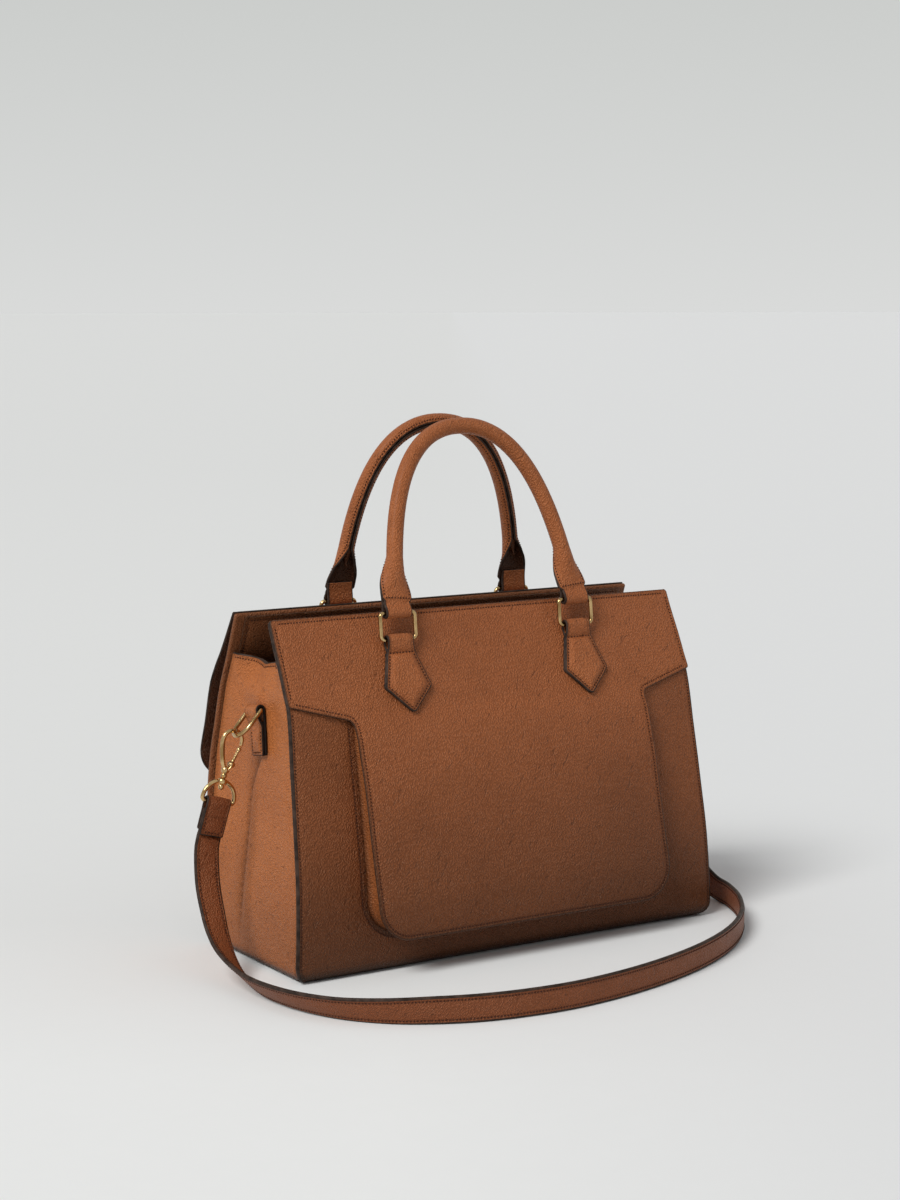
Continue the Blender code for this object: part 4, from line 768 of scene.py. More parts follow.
def stitches(name, lines, body, slot):
    """Sewn threads along lines of (points, facings): each stitch is a small arched bar."""
    sides, ends = STITCH_SIDES, (len(STITCH_STATIONS) - 1) * STITCH_SIDES
    points, faces, total = [], [], 0
    for line, facing in lines:
        spots, way, out = even_line(line, facing, STITCH_PITCH)
        beside = np.cross(out, way)
        way = way + beside * STITCH_SLANT
        for spot, a, n, b in zip(spots, way, out, beside):
            for along, up, size in STITCH_STATIONS:
                centre = spot + a * along * STITCH_LENGTH + n * up
                for k in range(sides):
                    turn = math.tau * k / sides
                    spoke = math.cos(turn) * b + math.sin(turn) * n
                    points.append(centre + STITCH_RADIUS * size * spoke)
            for low in range(total, total + ends, sides):
                for k in range(sides):
                    i, j = low + k, low + (k + 1) % sides
                    faces.append((i, j, j + sides, i + sides))
            faces.append(tuple(total + k for k in reversed(range(sides))))
            faces.append(tuple(total + ends + k for k in range(sides)))
            total += ends + sides
    return settle(put(name, points, faces, [THREAD]), body, slot)


def sewn(sheet, name, body, slot, runs):
    """Stitches along runs of places on a sheet."""
    return stitches(name, [sheet.on_top(run) for run in runs], body, slot)


def loft(rings, cap=True):
    """Rings of the same number of points and the faces that join them, with or without ends."""
    count = len(rings[0])
    faces = []
    for r in range(len(rings) - 1):
        low, high = r * count, (r + 1) * count
        for k in range(count):
            j = (k + 1) % count
            faces.append((low + k, low + j, high + j, high + k))
    if cap:
        faces.append(tuple(reversed(range(count))))
        faces.append(tuple(range((len(rings) - 1) * count, len(rings) * count)))
    return np.concatenate(rings), faces


def smooth_points(points, parts):
    """A smooth curve through points, with a number of parts between each two."""
    p = np.asarray(points, float)
    p = np.concatenate((2 * p[:1] - p[1:2], p, 2 * p[-1:] - p[-2:-1]))
    made = []
    for i in range(1, len(p) - 2):
        b, h, n, a = p[i - 1:i + 3]
        for j in range(parts):
            t = j / parts
            made.append(
                h + (n - b) * t / 2 + (b - h * 5 / 2 + 2 * n - a / 2) * t ** 2
                + (h * 3 - b - n * 3 + a) * t ** 3 / 2
            )
    return np.array(made + [p[-2]])


def tube(points, radii, across=None, closed=False, sides=16, flat=1.0):
    """A round or flattened wire along points. Across is the direction of its flat side."""
    points = np.asarray(points, float)
    radii = np.broadcast_to(radii, len(points))
    flats = np.broadcast_to(flat, len(points))
    if closed:
        ways = np.roll(points, -1, 0) - np.roll(points, 1, 0)
    else:
        ways = np.gradient(points, axis=0)
    rings = []
    side = None
    for point, way, radius, squash in zip(points, ways, radii, flats):
        way = unit(way)
        guide = across if across is not None else side
        if guide is None:
            guide = X_AXIS if abs(way[0]) < 0.8 else Z_AXIS
        side = unit(guide - (guide @ way) * way)
        other = np.cross(way, side)
        turns = np.arange(sides) * math.tau / sides
        spokes = np.outer(np.cos(turns), side) + squash * np.outer(np.sin(turns), other)
        rings.append(point + radius * spokes)
    if closed:
        rings.append(rings[0])
        made, faces = loft(rings, cap=False)
        count = len(made) - sides
        faces = [tuple(i if i < count else i - count for i in f) for f in faces]
        return made[:count], faces
    return loft(rings)


def turned(profile, origin, axis, sides=28):
    """A body of revolution from a profile of (radius, place along the axis)."""
    axis = unit(axis)
    side = unit(np.cross(axis, X_AXIS if abs(axis[0]) < 0.8 else Z_AXIS))
    other = np.cross(axis, side)
    turns = np.arange(sides) * math.tau / sides
    spokes = np.outer(np.cos(turns), side) + np.outer(np.sin(turns), other)
    return loft([origin + axis * along + max(radius, 0.00001) * spokes for radius, along in profile])


def ball_profile(radius, centre, start, end):
    """Half of a ball's outline, between two angles in degrees."""
    angles = [math.radians(start + (end - start) * k / 8) for k in range(9)]
    return [(radius * math.cos(a), centre + radius * math.sin(a)) for a in angles]


def together(*parts):
    """Several meshes of (points, faces) as one."""
    points, faces, total = [], [], 0
    for made, its_faces in parts:
        points.append(np.asarray(made))
        faces += [tuple(total + i for i in f) for f in its_faces]
        total += len(made)
    return np.concatenate(points), faces


# Camera

CAMERA_PLACE = Vector((-0.93727, -1.44770, 0.46005))
CAMERA_AZIMUTH = math.radians(-32.572)
CAMERA_ELEVATION = math.radians(7.063)
LONG_SIDE_LENS = 71.21

camera = bpy.data.objects.new("camera", bpy.data.cameras.new("camera"))
camera.data.lens = LONG_SIDE_LENS
camera.data.sensor_width = 36.0
camera.data.clip_start, camera.data.clip_end = 0.05, 400.0
look_back = Vector((
    math.sin(CAMERA_AZIMUTH) * math.cos(CAMERA_ELEVATION),
    -math.cos(CAMERA_AZIMUTH) * math.cos(CAMERA_ELEVATION), math.sin(CAMERA_ELEVATION),
))
camera.location = CAMERA_PLACE
camera.rotation_mode = "QUATERNION"
camera.rotation_quaternion = (-look_back).to_track_quat("-Z", "Y")
SCENE.collection.objects.link(camera)
SCENE.camera = camera


# Strap

JOINTS = {j["name"]: j for j in frame["joints"]}


def pivot(name):
    return np.array(JOINTS[name]["pos_m"], float)


def hook_axes(side):
    """The bar in the strap's end, and the hook's axes there: inwards, beside and up."""
    word = "left" if side < 0 else "right"
    bar = pivot(word + "_d_base_rock")
    up = unit(JOINTS[word + "_hook_swivel"]["axis"])
    inward = unit(np.array((-side, 0.0, 0.0)) + side * X_AXIS @ up * up)
    return bar, inward, np.cross(up, inward), up


def strap_path():
    """Places along the strap, each with the direction of its width and of its face."""
    starts = []
    for side in (-1, 1):
        bar, _, _, up = hook_axes(side)
        starts.append(bar - (STRAP_END_LENGTH + GAP) * up)
    route = [(*starts[0], STRAP_ROUTE[0][3]), *STRAP_ROUTE, (*starts[1], STRAP_ROUTE[-1][3])]
    fine = smooth_points(route, 24)
    steps = np.linalg.norm(np.diff(fine[:, :3], axis=0), axis=1)
    reach = np.concatenate(((0.0,), np.cumsum(steps)))
    wanted = np.linspace(0.0, reach[-1], STRAP_STEPS + 1)
    placed = np.stack([np.interp(wanted, reach, fine[:, k]) for k in range(4)], 1)
    ways = np.gradient(placed[:, :3], axis=0)
    widths, facings = [], []
    for place, way in zip(placed, ways):
        way = unit(way)
        turn = place[3] * math.radians(90)
        wide = np.array((-math.cos(turn), 0.0, math.sin(turn)))
        wide = unit(wide - (wide @ way) * way)
        widths.append(wide)
        facings.append(np.cross(way, wide))
    for end, side in ((0, -1), (STRAP_STEPS, 1)):
        _, inward, _, _ = hook_axes(side)
        for k in range(STRAP_BLEND_STEPS + 1):
            i = abs(end - k)
            share = ease(1 - k / STRAP_BLEND_STEPS)
            way = unit(ways[i])
            target = inward if side > 0 else -inward
            target = target if widths[i] @ target > 0 else -target
            wide = widths[i] * (1 - share) + target * share
            widths[i] = unit(wide - (wide @ way) * way)
            facings[i] = np.cross(way, widths[i])
    return placed[:, :3], np.array(widths), np.array(facings), reach[-1]


def band_section(half_width, half_thickness):
    """A flat strap's section: (across, out) and whether each point belongs to the painted edge."""
    flat = half_width - half_thickness
    top = []
    for a in [flat - d for d in (0.0, 0.0005, 0.0010, 0.0016, 0.0022, 0.0030, 0.0045)] + [0.0]:
        depth = half_width - a
        groove = 0.0002 * dip(depth - SEAM_DEPTH, 0.0006)
        top.append((a, half_thickness - groove + 0.0002 * ease((depth - 0.004) / 0.004)))
    upper = top + [(-a, h) for a, h in reversed(top[:-1])]
    rim = [math.pi / 2 + math.pi * k / 6 for k in range(1, 6)]
    left = [(half_thickness * math.cos(t) - flat, half_thickness * math.sin(t)) for t in rim]
    lower = [(a, -h) for a, h in reversed(upper)]
    right = [(-a, -h) for a, h in left]
    section = upper + left + lower + right
    painted = [abs(a) > flat - PAINT_LAP for a, _ in section]
    return section, painted


def sweep(name, section, painted, centres, wides, outs, finish):
    """A section carried along places, its painted edge in its own finish."""
    rings = [
        centre + np.array([a * wide + h * out for a, h in section])
        for centre, wide, out in zip(centres, wides, outs)
    ]
    points, faces = loft(rings)
    count = len(section)
    index = [int(painted[k] and painted[(k + 1) % count]) for k in range(count)] * (len(rings) - 1) + [1, 1]
    edge = max(a for a, _ in section)
    depth = np.array([edge - abs(a) for a, _ in section])
    # Darker at the edges, with painted shade along the seam grooves.
    tone = 0.3 * (1 - ease(depth / 0.003)) + 0.4 * dip(depth - SEAM_DEPTH, 0.0006)
    shade = np.tile(np.clip(tone, 0, 1), len(rings))
    return put(name, points, faces, [finish, PAINT], index, shade)


def make_strap():
    centres, wides, outs, length = strap_path()
    section, painted = band_section(STRAP_WIDTH / 2, STRAP_THICKNESS / 2)
    strap = sweep("strap_leather", section, painted, centres, wides, outs, STRAP_LEATHER)
    settle(strap, ROOT, "dark_leather", "strap")
    lines = []
    for face in (-1, 1):
        for edge in (-1, 1):
            at = centres + edge * (STRAP_WIDTH / 2 - SEAM_DEPTH) * wides
            at = at + face * (STRAP_THICKNESS / 2 - 0.0002) * outs
            lines.append((at[4:-4], face * outs[4:-4]))
    stitches("strap_thread", lines, ROOT, "dark_leather")
    return length


# Sheets of the body


ROLL_RADIUS = 0.008
ROLL_LIFT = 0.0004
PANEL_SEAM_LOW = 0.0085  # where a panel's seams end above its rolled edge
BACK_SEAM_TOP = 0.205
POCKET_BASE_TOP, BACK_POCKET_BASE_TOP = 0.180, 0.166  # how far up the seams beside the pockets run
POCKET_SEAM_OUT = 0.0035
TOP_CORNER_RADIUS, BACK_TOP_CORNER_RADIUS = 0.0025, 0.0013
OUTER_RIM = {"painted": (3, RIM_STEPS)}  # leather shows on the rounded front of the edge
PLAIN = {"puff": 0.0, "waviness": (0.0, 0.1, 1)}
CORE = {**PLAIN, "groove": 0.0, "depths": (0.002, ), "grid": 0.004}
LINING = {"spacing": 0.006, "depths": (0.002, 0.005), "fade": 0.3, "groove": 0.0, "puff": 0.0}


def rolled(line, at, side):
    """A panel's place, which curves in under the bag at its bottom."""
    turn = np.clip((ROLL_RADIUS - at[:, 1]) / ROLL_RADIUS, 0.0, 1.0) * math.pi / 2
    low = ROLL_RADIUS * (1 - np.sin(turn)) + ROLL_LIFT * np.sin(turn)
    z = np.where(at[:, 1] < ROLL_RADIUS, low, at[:, 1])
    y = line(z) - side * ROLL_RADIUS * (1 - np.cos(turn))
    return np.stack((-side * at[:, 0], y, z), 1)


def front_surface(at):
    return rolled(FRONT, at, -1)


def overlay_surface(at):
    return np.stack((at[:, 0], overlay_inner(at[:, 1]), at[:, 1]), 1)


def back_surface(at):
    return rolled(BACK, at, 1)


def yoke_surface(at):
    return np.stack((-at[:, 0], yoke_inner(at[:, 1]), at[:, 1]), 1)


def panel_corners(top_radius):
    knee = SIDE_TAPER_SHARES[1][0] * BODY_HEIGHT
    base, middle, top = (float(TAPER(z)) for z in (0.0, knee, BODY_HEIGHT))
    return (
        (-base, 0.0, PANEL_CORNER_RADIUS), (base, 0.0, PANEL_CORNER_RADIUS), (middle, knee, 0.0),
        (top, BODY_HEIGHT, top_radius), (-top, BODY_HEIGHT, top_radius), (-middle, knee, 0.0),
    )


def pocket_line(half_width, bottom, top, radius, out=0.0, spacing=0.003):
    """Places down the left of a pocket, along its bottom and up its right, moved outwards, and the way in."""
    corners = (
        (-half_width, top, 0.0), (-half_width, bottom, radius), (half_width, bottom, radius),
        (half_width, top, 0.0),
    )
    line, inward = rounded_outline(corners, spacing)
    keep = (line[:, 1] <= top - 1e-6) | (np.abs(line[:, 0]) >= half_width - 1e-6)
    return line[keep] - inward[keep] * out, inward[keep]


def painted_low_shade(at, start=0.13, amount=0.42):
    """Painted shade: how much darker the colour is made below a height, and most where the bag curves under,
    as a painted contact shadow.
    """
    return amount * ease((start - at[:, 1]) / start) + 0.5 * ease((0.011 - at[:, 1]) / 0.011)


def make_front():
    foot = (
        POCKET_HALF_WIDTH - POCKET_OVERHANG, POCKET_BOTTOM + POCKET_OVERHANG, POCKET_BASE_TOP,
        POCKET_CORNER_RADIUS,
    )
    seam_line, _ = pocket_line(*foot, out=POCKET_SEAM_OUT)
    base_line, _ = pocket_line(*foot)
    panel = Sheet(
        panel_corners(TOP_CORNER_RADIUS), front_surface, PANEL_THICKNESS, -PANEL_THICKNESS / 2,
        grooves=[seam_line],
    )
    # Painted shade: darker low down and where the pocket meets the panel, over a general darkening of 0.30.
    panel.extra_shade = lambda at, depth: (
        0.30 + painted_low_shade(at) + 0.5 * dip(distance_to(at, base_line, closed=False), 0.002)
    )
    settle(panel.make("front_panel_leather", FRONT_LEATHER, INNER_LEATHER), ROOT, "leather", "front_panel")
    below_yoke = YOKE_SIDE_HEIGHT - 0.004
    sewn(panel, "front_panel_thread", ROOT, "leather", [
        *panel.inset(SEAM_DEPTH, lambda p: (p[:, 1] < below_yoke) & (p[:, 1] > PANEL_SEAM_LOW)),
        seam_line[3:-3],
    ])
    top_half, side_half = float(TAPER(BODY_HEIGHT)), float(TAPER(YOKE_SIDE_HEIGHT))
    overlay = Sheet(
        (
            (-POCKET_HALF_WIDTH, POCKET_BOTTOM, POCKET_CORNER_RADIUS),
            (POCKET_HALF_WIDTH, POCKET_BOTTOM, POCKET_CORNER_RADIUS),
            (POCKET_HALF_WIDTH, YOKE_INNER_HEIGHT, 0.005), (side_half, YOKE_SIDE_HEIGHT, 0.0022),
            (top_half, BODY_HEIGHT, TOP_CORNER_RADIUS), (-top_half, BODY_HEIGHT, TOP_CORNER_RADIUS),
            (-side_half, YOKE_SIDE_HEIGHT, 0.0022), (-POCKET_HALF_WIDTH, YOKE_INNER_HEIGHT, 0.005),
        ),
        overlay_surface, OVERLAY_THICKNESS, OVERLAY_THICKNESS / 2, waviness=(0.00035, 0.11, 4),
    )
    overlay.extra_relief = lambda at, depth: 0.0011 * ease(depth / 0.05) * ease((0.18 - at[:, 1]) / 0.05)
    # Painted shade: darker low down, and in the lower part towards the right, where the light falls off.
    overlay.extra_shade = lambda at, depth: (
        painted_low_shade(at, 0.19, 0.62) + 0.16 * ease((at[:, 0] + 0.03) / 0.16) * ease((0.2 - at[:, 1]) / 0.1)
    )
    item = overlay.make("front_overlay_leather", FRONT_LEATHER, **OUTER_RIM)
    settle(item, ROOT, "leather", "front_overlay")
    sewn(overlay, "front_overlay_thread", ROOT, "leather", overlay.inset(SEAM_DEPTH))


def strip_loft(name, line, inward, near, far, bow, finish, slot, node, mirror=1):
    """The strip between a panel and a pocket's front, which bows inwards and has its own thickness."""
    steps = 9
    rings = []
    for (x, z), (ix, iz) in zip(line, inward):
        low, high = float(near(z)), float(far(z))
        depth = abs(high - low)
        ring = []
        for layer, order in ((0.0, 1), (POCKET_GUSSET_THICKNESS, -1)):
            for k in range(steps + 1)[::order]:
                w = k / steps
                inset = bow * depth * math.sin(math.pi * w) ** 0.8 + layer
                ring.append((mirror * (x + ix * inset), low + (high - low) * w, z + iz * inset))
        rings.append(np.array(ring))
    points, faces = loft(rings)
    # Painted shade: the strip is darkened throughout, and most at both long sides, in the gaps beside the
    # panel and the pocket's front.
    tone = np.array([dip(k / steps, 0.14) + 0.8 * dip(1 - k / steps, 0.10) for k in range(steps + 1)])
    tone = 0.45 + 0.5 * np.concatenate((tone, tone[::-1]))
    item = put(name, points, faces, [finish], None, np.tile(np.clip(tone, 0, 1), len(rings)))
    settle(item, ROOT, slot, node)


def make_pocket_strips():
    line, inward = pocket_line(
        POCKET_HALF_WIDTH - POCKET_OVERHANG, POCKET_BOTTOM + POCKET_OVERHANG, YOKE_INNER_HEIGHT - GAP,
        POCKET_CORNER_RADIUS - POCKET_OVERHANG, spacing=0.0025,
    )
    strip_loft(
        "front_pocket_strip", line, inward,
        lambda z: FRONT(z) - 0.0001, lambda z: overlay_inner(z) + GAP, 0.22,
        GUSSET_LEATHER, "light_leather", "front_pocket_gusset",
    )
    line, inward = pocket_line(
        BACK_POCKET_HALF_WIDTH - POCKET_OVERHANG, BACK_POCKET_BOTTOM + POCKET_OVERHANG, BACK_POCKET_TOP - GAP,
        BACK_POCKET_CORNER_RADIUS - POCKET_OVERHANG, spacing=0.0025,
    )
    strip_loft(
        "back_pocket_strip", line, inward,
        lambda z: BACK(z) + 0.0001, lambda z: BACK(z) + BACK_POCKET_DEPTH, 0.2,
        DARK_LEATHER, "dark_leather", "back_pocket_gusset", mirror=-1,
    )


def make_back():
    seam_line, _ = pocket_line(
        BACK_POCKET_HALF_WIDTH - POCKET_OVERHANG, BACK_POCKET_BOTTOM + POCKET_OVERHANG,
        BACK_POCKET_BASE_TOP, BACK_POCKET_CORNER_RADIUS, out=POCKET_SEAM_OUT,
    )
    panel = Sheet(
        panel_corners(BACK_TOP_CORNER_RADIUS), back_surface, PANEL_THICKNESS, -PANEL_THICKNESS / 2,
        grooves=[seam_line], waviness=(0.00025, 0.09, 7),
    )
    # Painted shade low down, over a general darkening of 0.18.
    panel.extra_shade = lambda at, depth: 0.18 + painted_low_shade(at)
    item = panel.make("back_panel_leather", FRONT_LEATHER, INNER_LEATHER, painted=(1, 2))
    settle(item, ROOT, "leather", "back_panel")
    sewn(panel, "back_panel_thread", ROOT, "leather", [
        *panel.inset(SEAM_DEPTH, lambda p: (p[:, 1] < BACK_SEAM_TOP) & (p[:, 1] > PANEL_SEAM_LOW)),
        seam_line[3:-3],
    ])
    pocket = Sheet(
        (
            (-BACK_POCKET_HALF_WIDTH, BACK_POCKET_BOTTOM, BACK_POCKET_CORNER_RADIUS),
            (BACK_POCKET_HALF_WIDTH, BACK_POCKET_BOTTOM, BACK_POCKET_CORNER_RADIUS),
            (BACK_POCKET_HALF_WIDTH, BACK_POCKET_TOP, 0.003),
            (-BACK_POCKET_HALF_WIDTH, BACK_POCKET_TOP, 0.003),
        ),
        lambda at: back_surface(at) + (0.0, GAP + BACK_POCKET_DEPTH, 0.0),
        OVERLAY_THICKNESS, OVERLAY_THICKNESS / 2, waviness=(0.0003, 0.1, 9),
    )
    # Painted shade low down, over a general darkening of 0.1.
    pocket.extra_shade = lambda at, depth: 0.1 + painted_low_shade(at, 0.13, 0.3)
    item = pocket.make("back_pocket_leather", FRONT_LEATHER, **OUTER_RIM)
    settle(item, ROOT, "leather", "back_pocket")
    sewn(pocket, "back_pocket_thread", ROOT, "leather", pocket.inset(SEAM_DEPTH))
    top_half, flap_half = float(TAPER(BODY_HEIGHT)), float(TAPER(FLAP_BOTTOM))
    knee = SIDE_TAPER_SHARES[1][0] * BODY_HEIGHT
    knee_half = float(TAPER(knee))
    flap = Sheet(
        (
            (-flap_half, FLAP_BOTTOM, FLAP_CORNER_RADIUS), (flap_half, FLAP_BOTTOM, FLAP_CORNER_RADIUS),
            (knee_half, knee, 0.0), (top_half, BODY_HEIGHT, BACK_TOP_CORNER_RADIUS),
            (-top_half, BODY_HEIGHT, BACK_TOP_CORNER_RADIUS), (-knee_half, knee, 0.0),
        ),
        yoke_surface, OVERLAY_THICKNESS, OVERLAY_THICKNESS / 2, waviness=(0.0004, 0.1, 11),
    )
    # Painted shade along the flap's fold.
    flap.extra_shade = lambda at, depth: 0.25 * dip(at[:, 1] - FLAP_FOLD_HEIGHT, 0.004)
    item = flap.make("back_flap_leather", FRONT_LEATHER, DARK_LEATHER, painted=(2, RIM_STEPS))
    settle(item, None, "leather", "back_yoke", "back_flap")
    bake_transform(item)
    threads = sewn(flap, "back_flap_thread", None, "leather", flap.inset(SEAM_DEPTH))
    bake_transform(threads)


# Side gussets


GUSSET_SEAM_DEPTH = 0.0032
TAB_FOOT = (
    SIDE_TAB_PLACE - SIDE_TAB_LENGTH * math.sin(SIDE_TAB_LEAN),
    float(pivot("left_d_ring_swing")[2]) - SIDE_TAB_LENGTH * math.cos(SIDE_TAB_LEAN),
)


def crease_line(z):
    """Where the fold below a side tab runs: backwards from the tab's foot, and then down."""
    down = np.maximum(TAB_FOOT[1] - z, 0.0)
    return TAB_FOOT[0] + 0.0225 * (1 - np.exp(-down / 0.020)) + 0.0006 * np.sin(z * 60)


def gusset_surface(side, inward=0.0):
    """Places a gusset by (u, z), u running towards the bag's front at the left and its back at the right."""
    def place(at):
        y = side * at[:, 0]
        z = np.maximum(at[:, 1], 0.0003)
        front, back = FRONT_INNER(z), BACK_INNER(z)
        centre = GUSSET_FOLD_PLACE
        reach = np.where(y > centre, (y - centre) / (back - centre), (centre - y) / (centre - front))
        slope = (reach - GUSSET_FOLD_FLAT_SHARE) / (GUSSET_FOLD_END_SHARE - GUSSET_FOLD_FLAT_SHARE)
        sunk = GUSSET_FOLD_DEPTH * FOLD_SHARE(z) * (1 + np.cos(math.pi * np.clip(slope, 0.0, 1.0))) / 2
        x = side_width(z) - GUSSET_INSET - inward - sunk
        return np.stack((side * x, y, at[:, 1]), 1)
    return place


def gusset_corners(side, bottom, top):
    """The outline between the panels' inner faces, with a top edge that dips in the middle."""
    heights = np.linspace(bottom, top, 10)
    front = [(side * float(FRONT_INNER(z)), z) for z in heights]
    back = [(side * float(BACK_INNER(z)), z) for z in heights]
    right, left = (back, front) if side > 0 else (front, back)
    corners = [(*right[0], 0.0070)] + [(*p, 0.0) for p in right[1:-1]] + [(*right[-1], 0.0012)]
    count = 12
    for k in range(1, count):
        u = right[-1][0] + (left[-1][0] - right[-1][0]) * k / count
        share = (u - (right[-1][0] + left[-1][0]) / 2) / ((right[-1][0] - left[-1][0]) / 2)
        corners.append((u, top - GUSSET_TOP_DIP * (1 - abs(share)) ** 2, 0.0))
    return corners + [(*left[-1], 0.0012)] + [(*p, 0.0) for p in reversed(left[1:-1])] + [(*left[0], 0.0070)]


def make_gussets():
    for word, side in (("left", -1), ("right", 1)):
        gusset = Sheet(
            gusset_corners(side, 0.0006, GUSSET_TOP), gusset_surface(side), GUSSET_THICKNESS,
            -GUSSET_THICKNESS / 2, grid=0.004, fade=0.6, waviness=(0.0005, 0.07, 21), puff=0.0,
            edge_seam=GUSSET_SEAM_DEPTH,
        )

        def folds(at, depth, side=side):
            """A sharp crease below the tab, a sunk middle above it, and slanting wrinkles near the top."""
            y, z = side * at[:, 0], at[:, 1]
            below = ease((TAB_FOOT[1] - z) / 0.006) * ease(z / 0.05)
            crease_y = crease_line(z)
            crease = 0.0020 * dip(y - crease_y, 0.0026) - 0.0009 * dip(y - crease_y + 0.007, 0.005)
            above = ease((z - TAB_FOOT[1] - 0.036) / 0.006)
            middle = 0.0010 * dip(y - SIDE_TAB_PLACE - 0.002, 0.004) * above
            slant = (y * 0.72 + z * 0.70) * 560 + 1.6 * waves(at, 5, 0.03)
            ripple = 0.00034 * np.sin(slant) * dip(z - 0.199, 0.011) * ease((y + 0.03) / 0.03)
            broad = 0.0006 * np.sin((y * 0.8 - z) * 210 + 1.0) * dip(z - 0.190, 0.018)
            return -crease * below + middle + (ripple + broad) * ease(depth / 0.010)

        gusset.extra_relief = folds

        # Painted shade: darker low down, near the outline where the gusset meets the panels, and in a dark
        # line along the crease below the tab, where the strap's shadow falls.
        def tone(at, depth, side=side):
            y, z = side * at[:, 0], at[:, 1]
            crease_y = crease_line(z)
            crease = 0.55 * dip(y - crease_y, 0.0016) * ease((TAB_FOOT[1] - z) / 0.006) * ease(z / 0.06)
            return painted_low_shade(at, 0.10, 0.35) + 0.25 * (1 - ease(depth / 0.007)) + crease

        gusset.extra_shade = tone
        item = gusset.make(word + "_gusset_leather", GUSSET_LEATHER, INNER_LEATHER)
        settle(item, ROOT, "light_leather", word + "_gusset")
        near_top = GUSSET_TOP - 0.0085
        runs = gusset.inset(GUSSET_SEAM_DEPTH, lambda p: p[:, 1] > near_top)
        sewn(gusset, word + "_gusset_thread", ROOT, "light_leather", runs)


# Linings, facings and base


def lining_width(z):
    gusset = GUSSET_INSET + GUSSET_THICKNESS + GUSSET_LINING_CLEARANCE
    return side_width(z) - gusset - LINING_THICKNESS - 2 * GAP


def inner_sheets():
    floor = BASE_THICKNESS + BOARD_THICKNESS + LINING_THICKNESS + 4 * GAP
    for word, line, side in (("front", FRONT_INNER, -1), ("back", BACK_INNER, 1)):
        def surface(at, line=line, side=side):
            return np.stack((side * at[:, 0], line(at[:, 1]), at[:, 1]), 1)

        def corners(bottom, top, radius):
            low, high = float(lining_width(bottom)), float(lining_width(top))
            return ((-low, bottom, radius), (low, bottom, radius), (high, top, radius), (-high, top, radius))

        facing = Sheet(
            corners(LINING_TOP + GAP, FACING_TOP, 0.0015), surface, FACING_THICKNESS, FACING_THICKNESS / 2,
            waviness=(0.0002, 0.08, 31 + side),
        )
        # Painted shade: darker lower down, inside the bag below the gussets' top.
        facing.extra_shade = lambda at, depth: 0.15 + 0.3 * ease((0.215 - at[:, 1]) / 0.012)
        item = facing.make(word + "_facing_leather", INNER_LEATHER, paint=INNER_LEATHER)
        settle(item, ROOT, "inner_leather", word + "_facing")
        sewn(facing, word + "_facing_thread", ROOT, "inner_leather", facing.inset(SEAM_DEPTH))
        lining = Sheet(
            corners(floor, LINING_TOP, 0.001), surface, LINING_THICKNESS, LINING_THICKNESS / 2,
            grid=0.009, **LINING,
        )
        item = lining.make(word + "_lining_cloth", CLOTH, paint=CLOTH)
        settle(item, ROOT, "lining", word + "_lining")
        width = 2 * float(lining_width(0.1))
    for word, side in (("left", -1), ("right", 1)):
        surface = gusset_surface(side, GUSSET_THICKNESS + GUSSET_LINING_CLEARANCE)

        def turned_in(at, surface=surface):
            return surface(at * (-1.0, 1.0))

        lining = Sheet(
            [(-u, z, min(r, 0.002)) for u, z, r in reversed(gusset_corners(side, floor, GUSSET_TOP - 0.001))],
            turned_in, LINING_THICKNESS, LINING_THICKNESS / 2, grid=0.008, **LINING,
        )
        item = lining.make(word + "_gusset_lining_cloth", CLOTH, paint=CLOTH)
        settle(item, ROOT, "lining", word + "_gusset_lining")


def oblong(half, low, high):
    return ((-half, low, 0.002), (half, low, 0.002), (half, high, 0.002), (-half, high, 0.002))


def make_base():
    half = BODY_HALF_WIDTH - BASE_CORNER_RADIUS - GUSSET_INSET - 3 * GAP
    low_front = float(FRONT(0.0)) + ROLL_RADIUS + GAP
    low_back = float(BACK(0.0)) - ROLL_RADIUS - GAP
    base = Sheet(
        oblong(half, -low_back, -low_front), lambda at: np.stack((at[:, 0], -at[:, 1], np.zeros(len(at))), 1),
        BASE_THICKNESS, -BASE_THICKNESS / 2, **PLAIN,
    )
    settle(base.make("base_leather", DARK_LEATHER), ROOT, "dark_leather", "base_panel")
    sewn(base, "base_thread", ROOT, "dark_leather", base.inset(0.0045))
    level = BASE_THICKNESS + BOARD_THICKNESS + 2 * GAP
    front, back = float(FRONT_INNER(0.0)) + GAP, float(BACK_INNER(0.0)) - GAP
    lining = Sheet(
        oblong(half, front, back), lambda at: np.stack((at[:, 0], at[:, 1], np.full(len(at), level)), 1),
        LINING_THICKNESS, LINING_THICKNESS / 2, grid=0.012, **LINING,
    )
    item = lining.make("base_lining_cloth", CLOTH, paint=CLOTH)
    settle(item, ROOT, "lining", "base_lining")
    for name, finish in (("base_board", BOARD), ("snap_stud", METAL), ("snap_socket", METAL)):
        node = frame["nodes"][name]
        node.data.materials.clear()
        node.data.materials.append(finish)


# Folded strips: tabs and strap ends


def along_path(points):
    """A function from the distance along a path of (out, up) to its places."""
    steps = np.linalg.norm(np.diff(points, axis=0), axis=1)
    reach = np.concatenate(((0.0,), np.cumsum(steps)))

    def value(s):
        return np.stack([np.interp(s, reach, points[:, k]) for k in range(2)], 1)
    return value, reach


def strip_surface(points, origin, across, out, up):
    """Places (u, s) of a strip that follows a path of (out, up) in its own plane."""
    value, reach = along_path(points)

    def surface(at):
        place = value(at[:, 1])
        return (
            origin + at[:, :1] * across + place[:, :1] * np.asarray(out) + place[:, 1:] * np.asarray(up)
        )
    return surface, reach


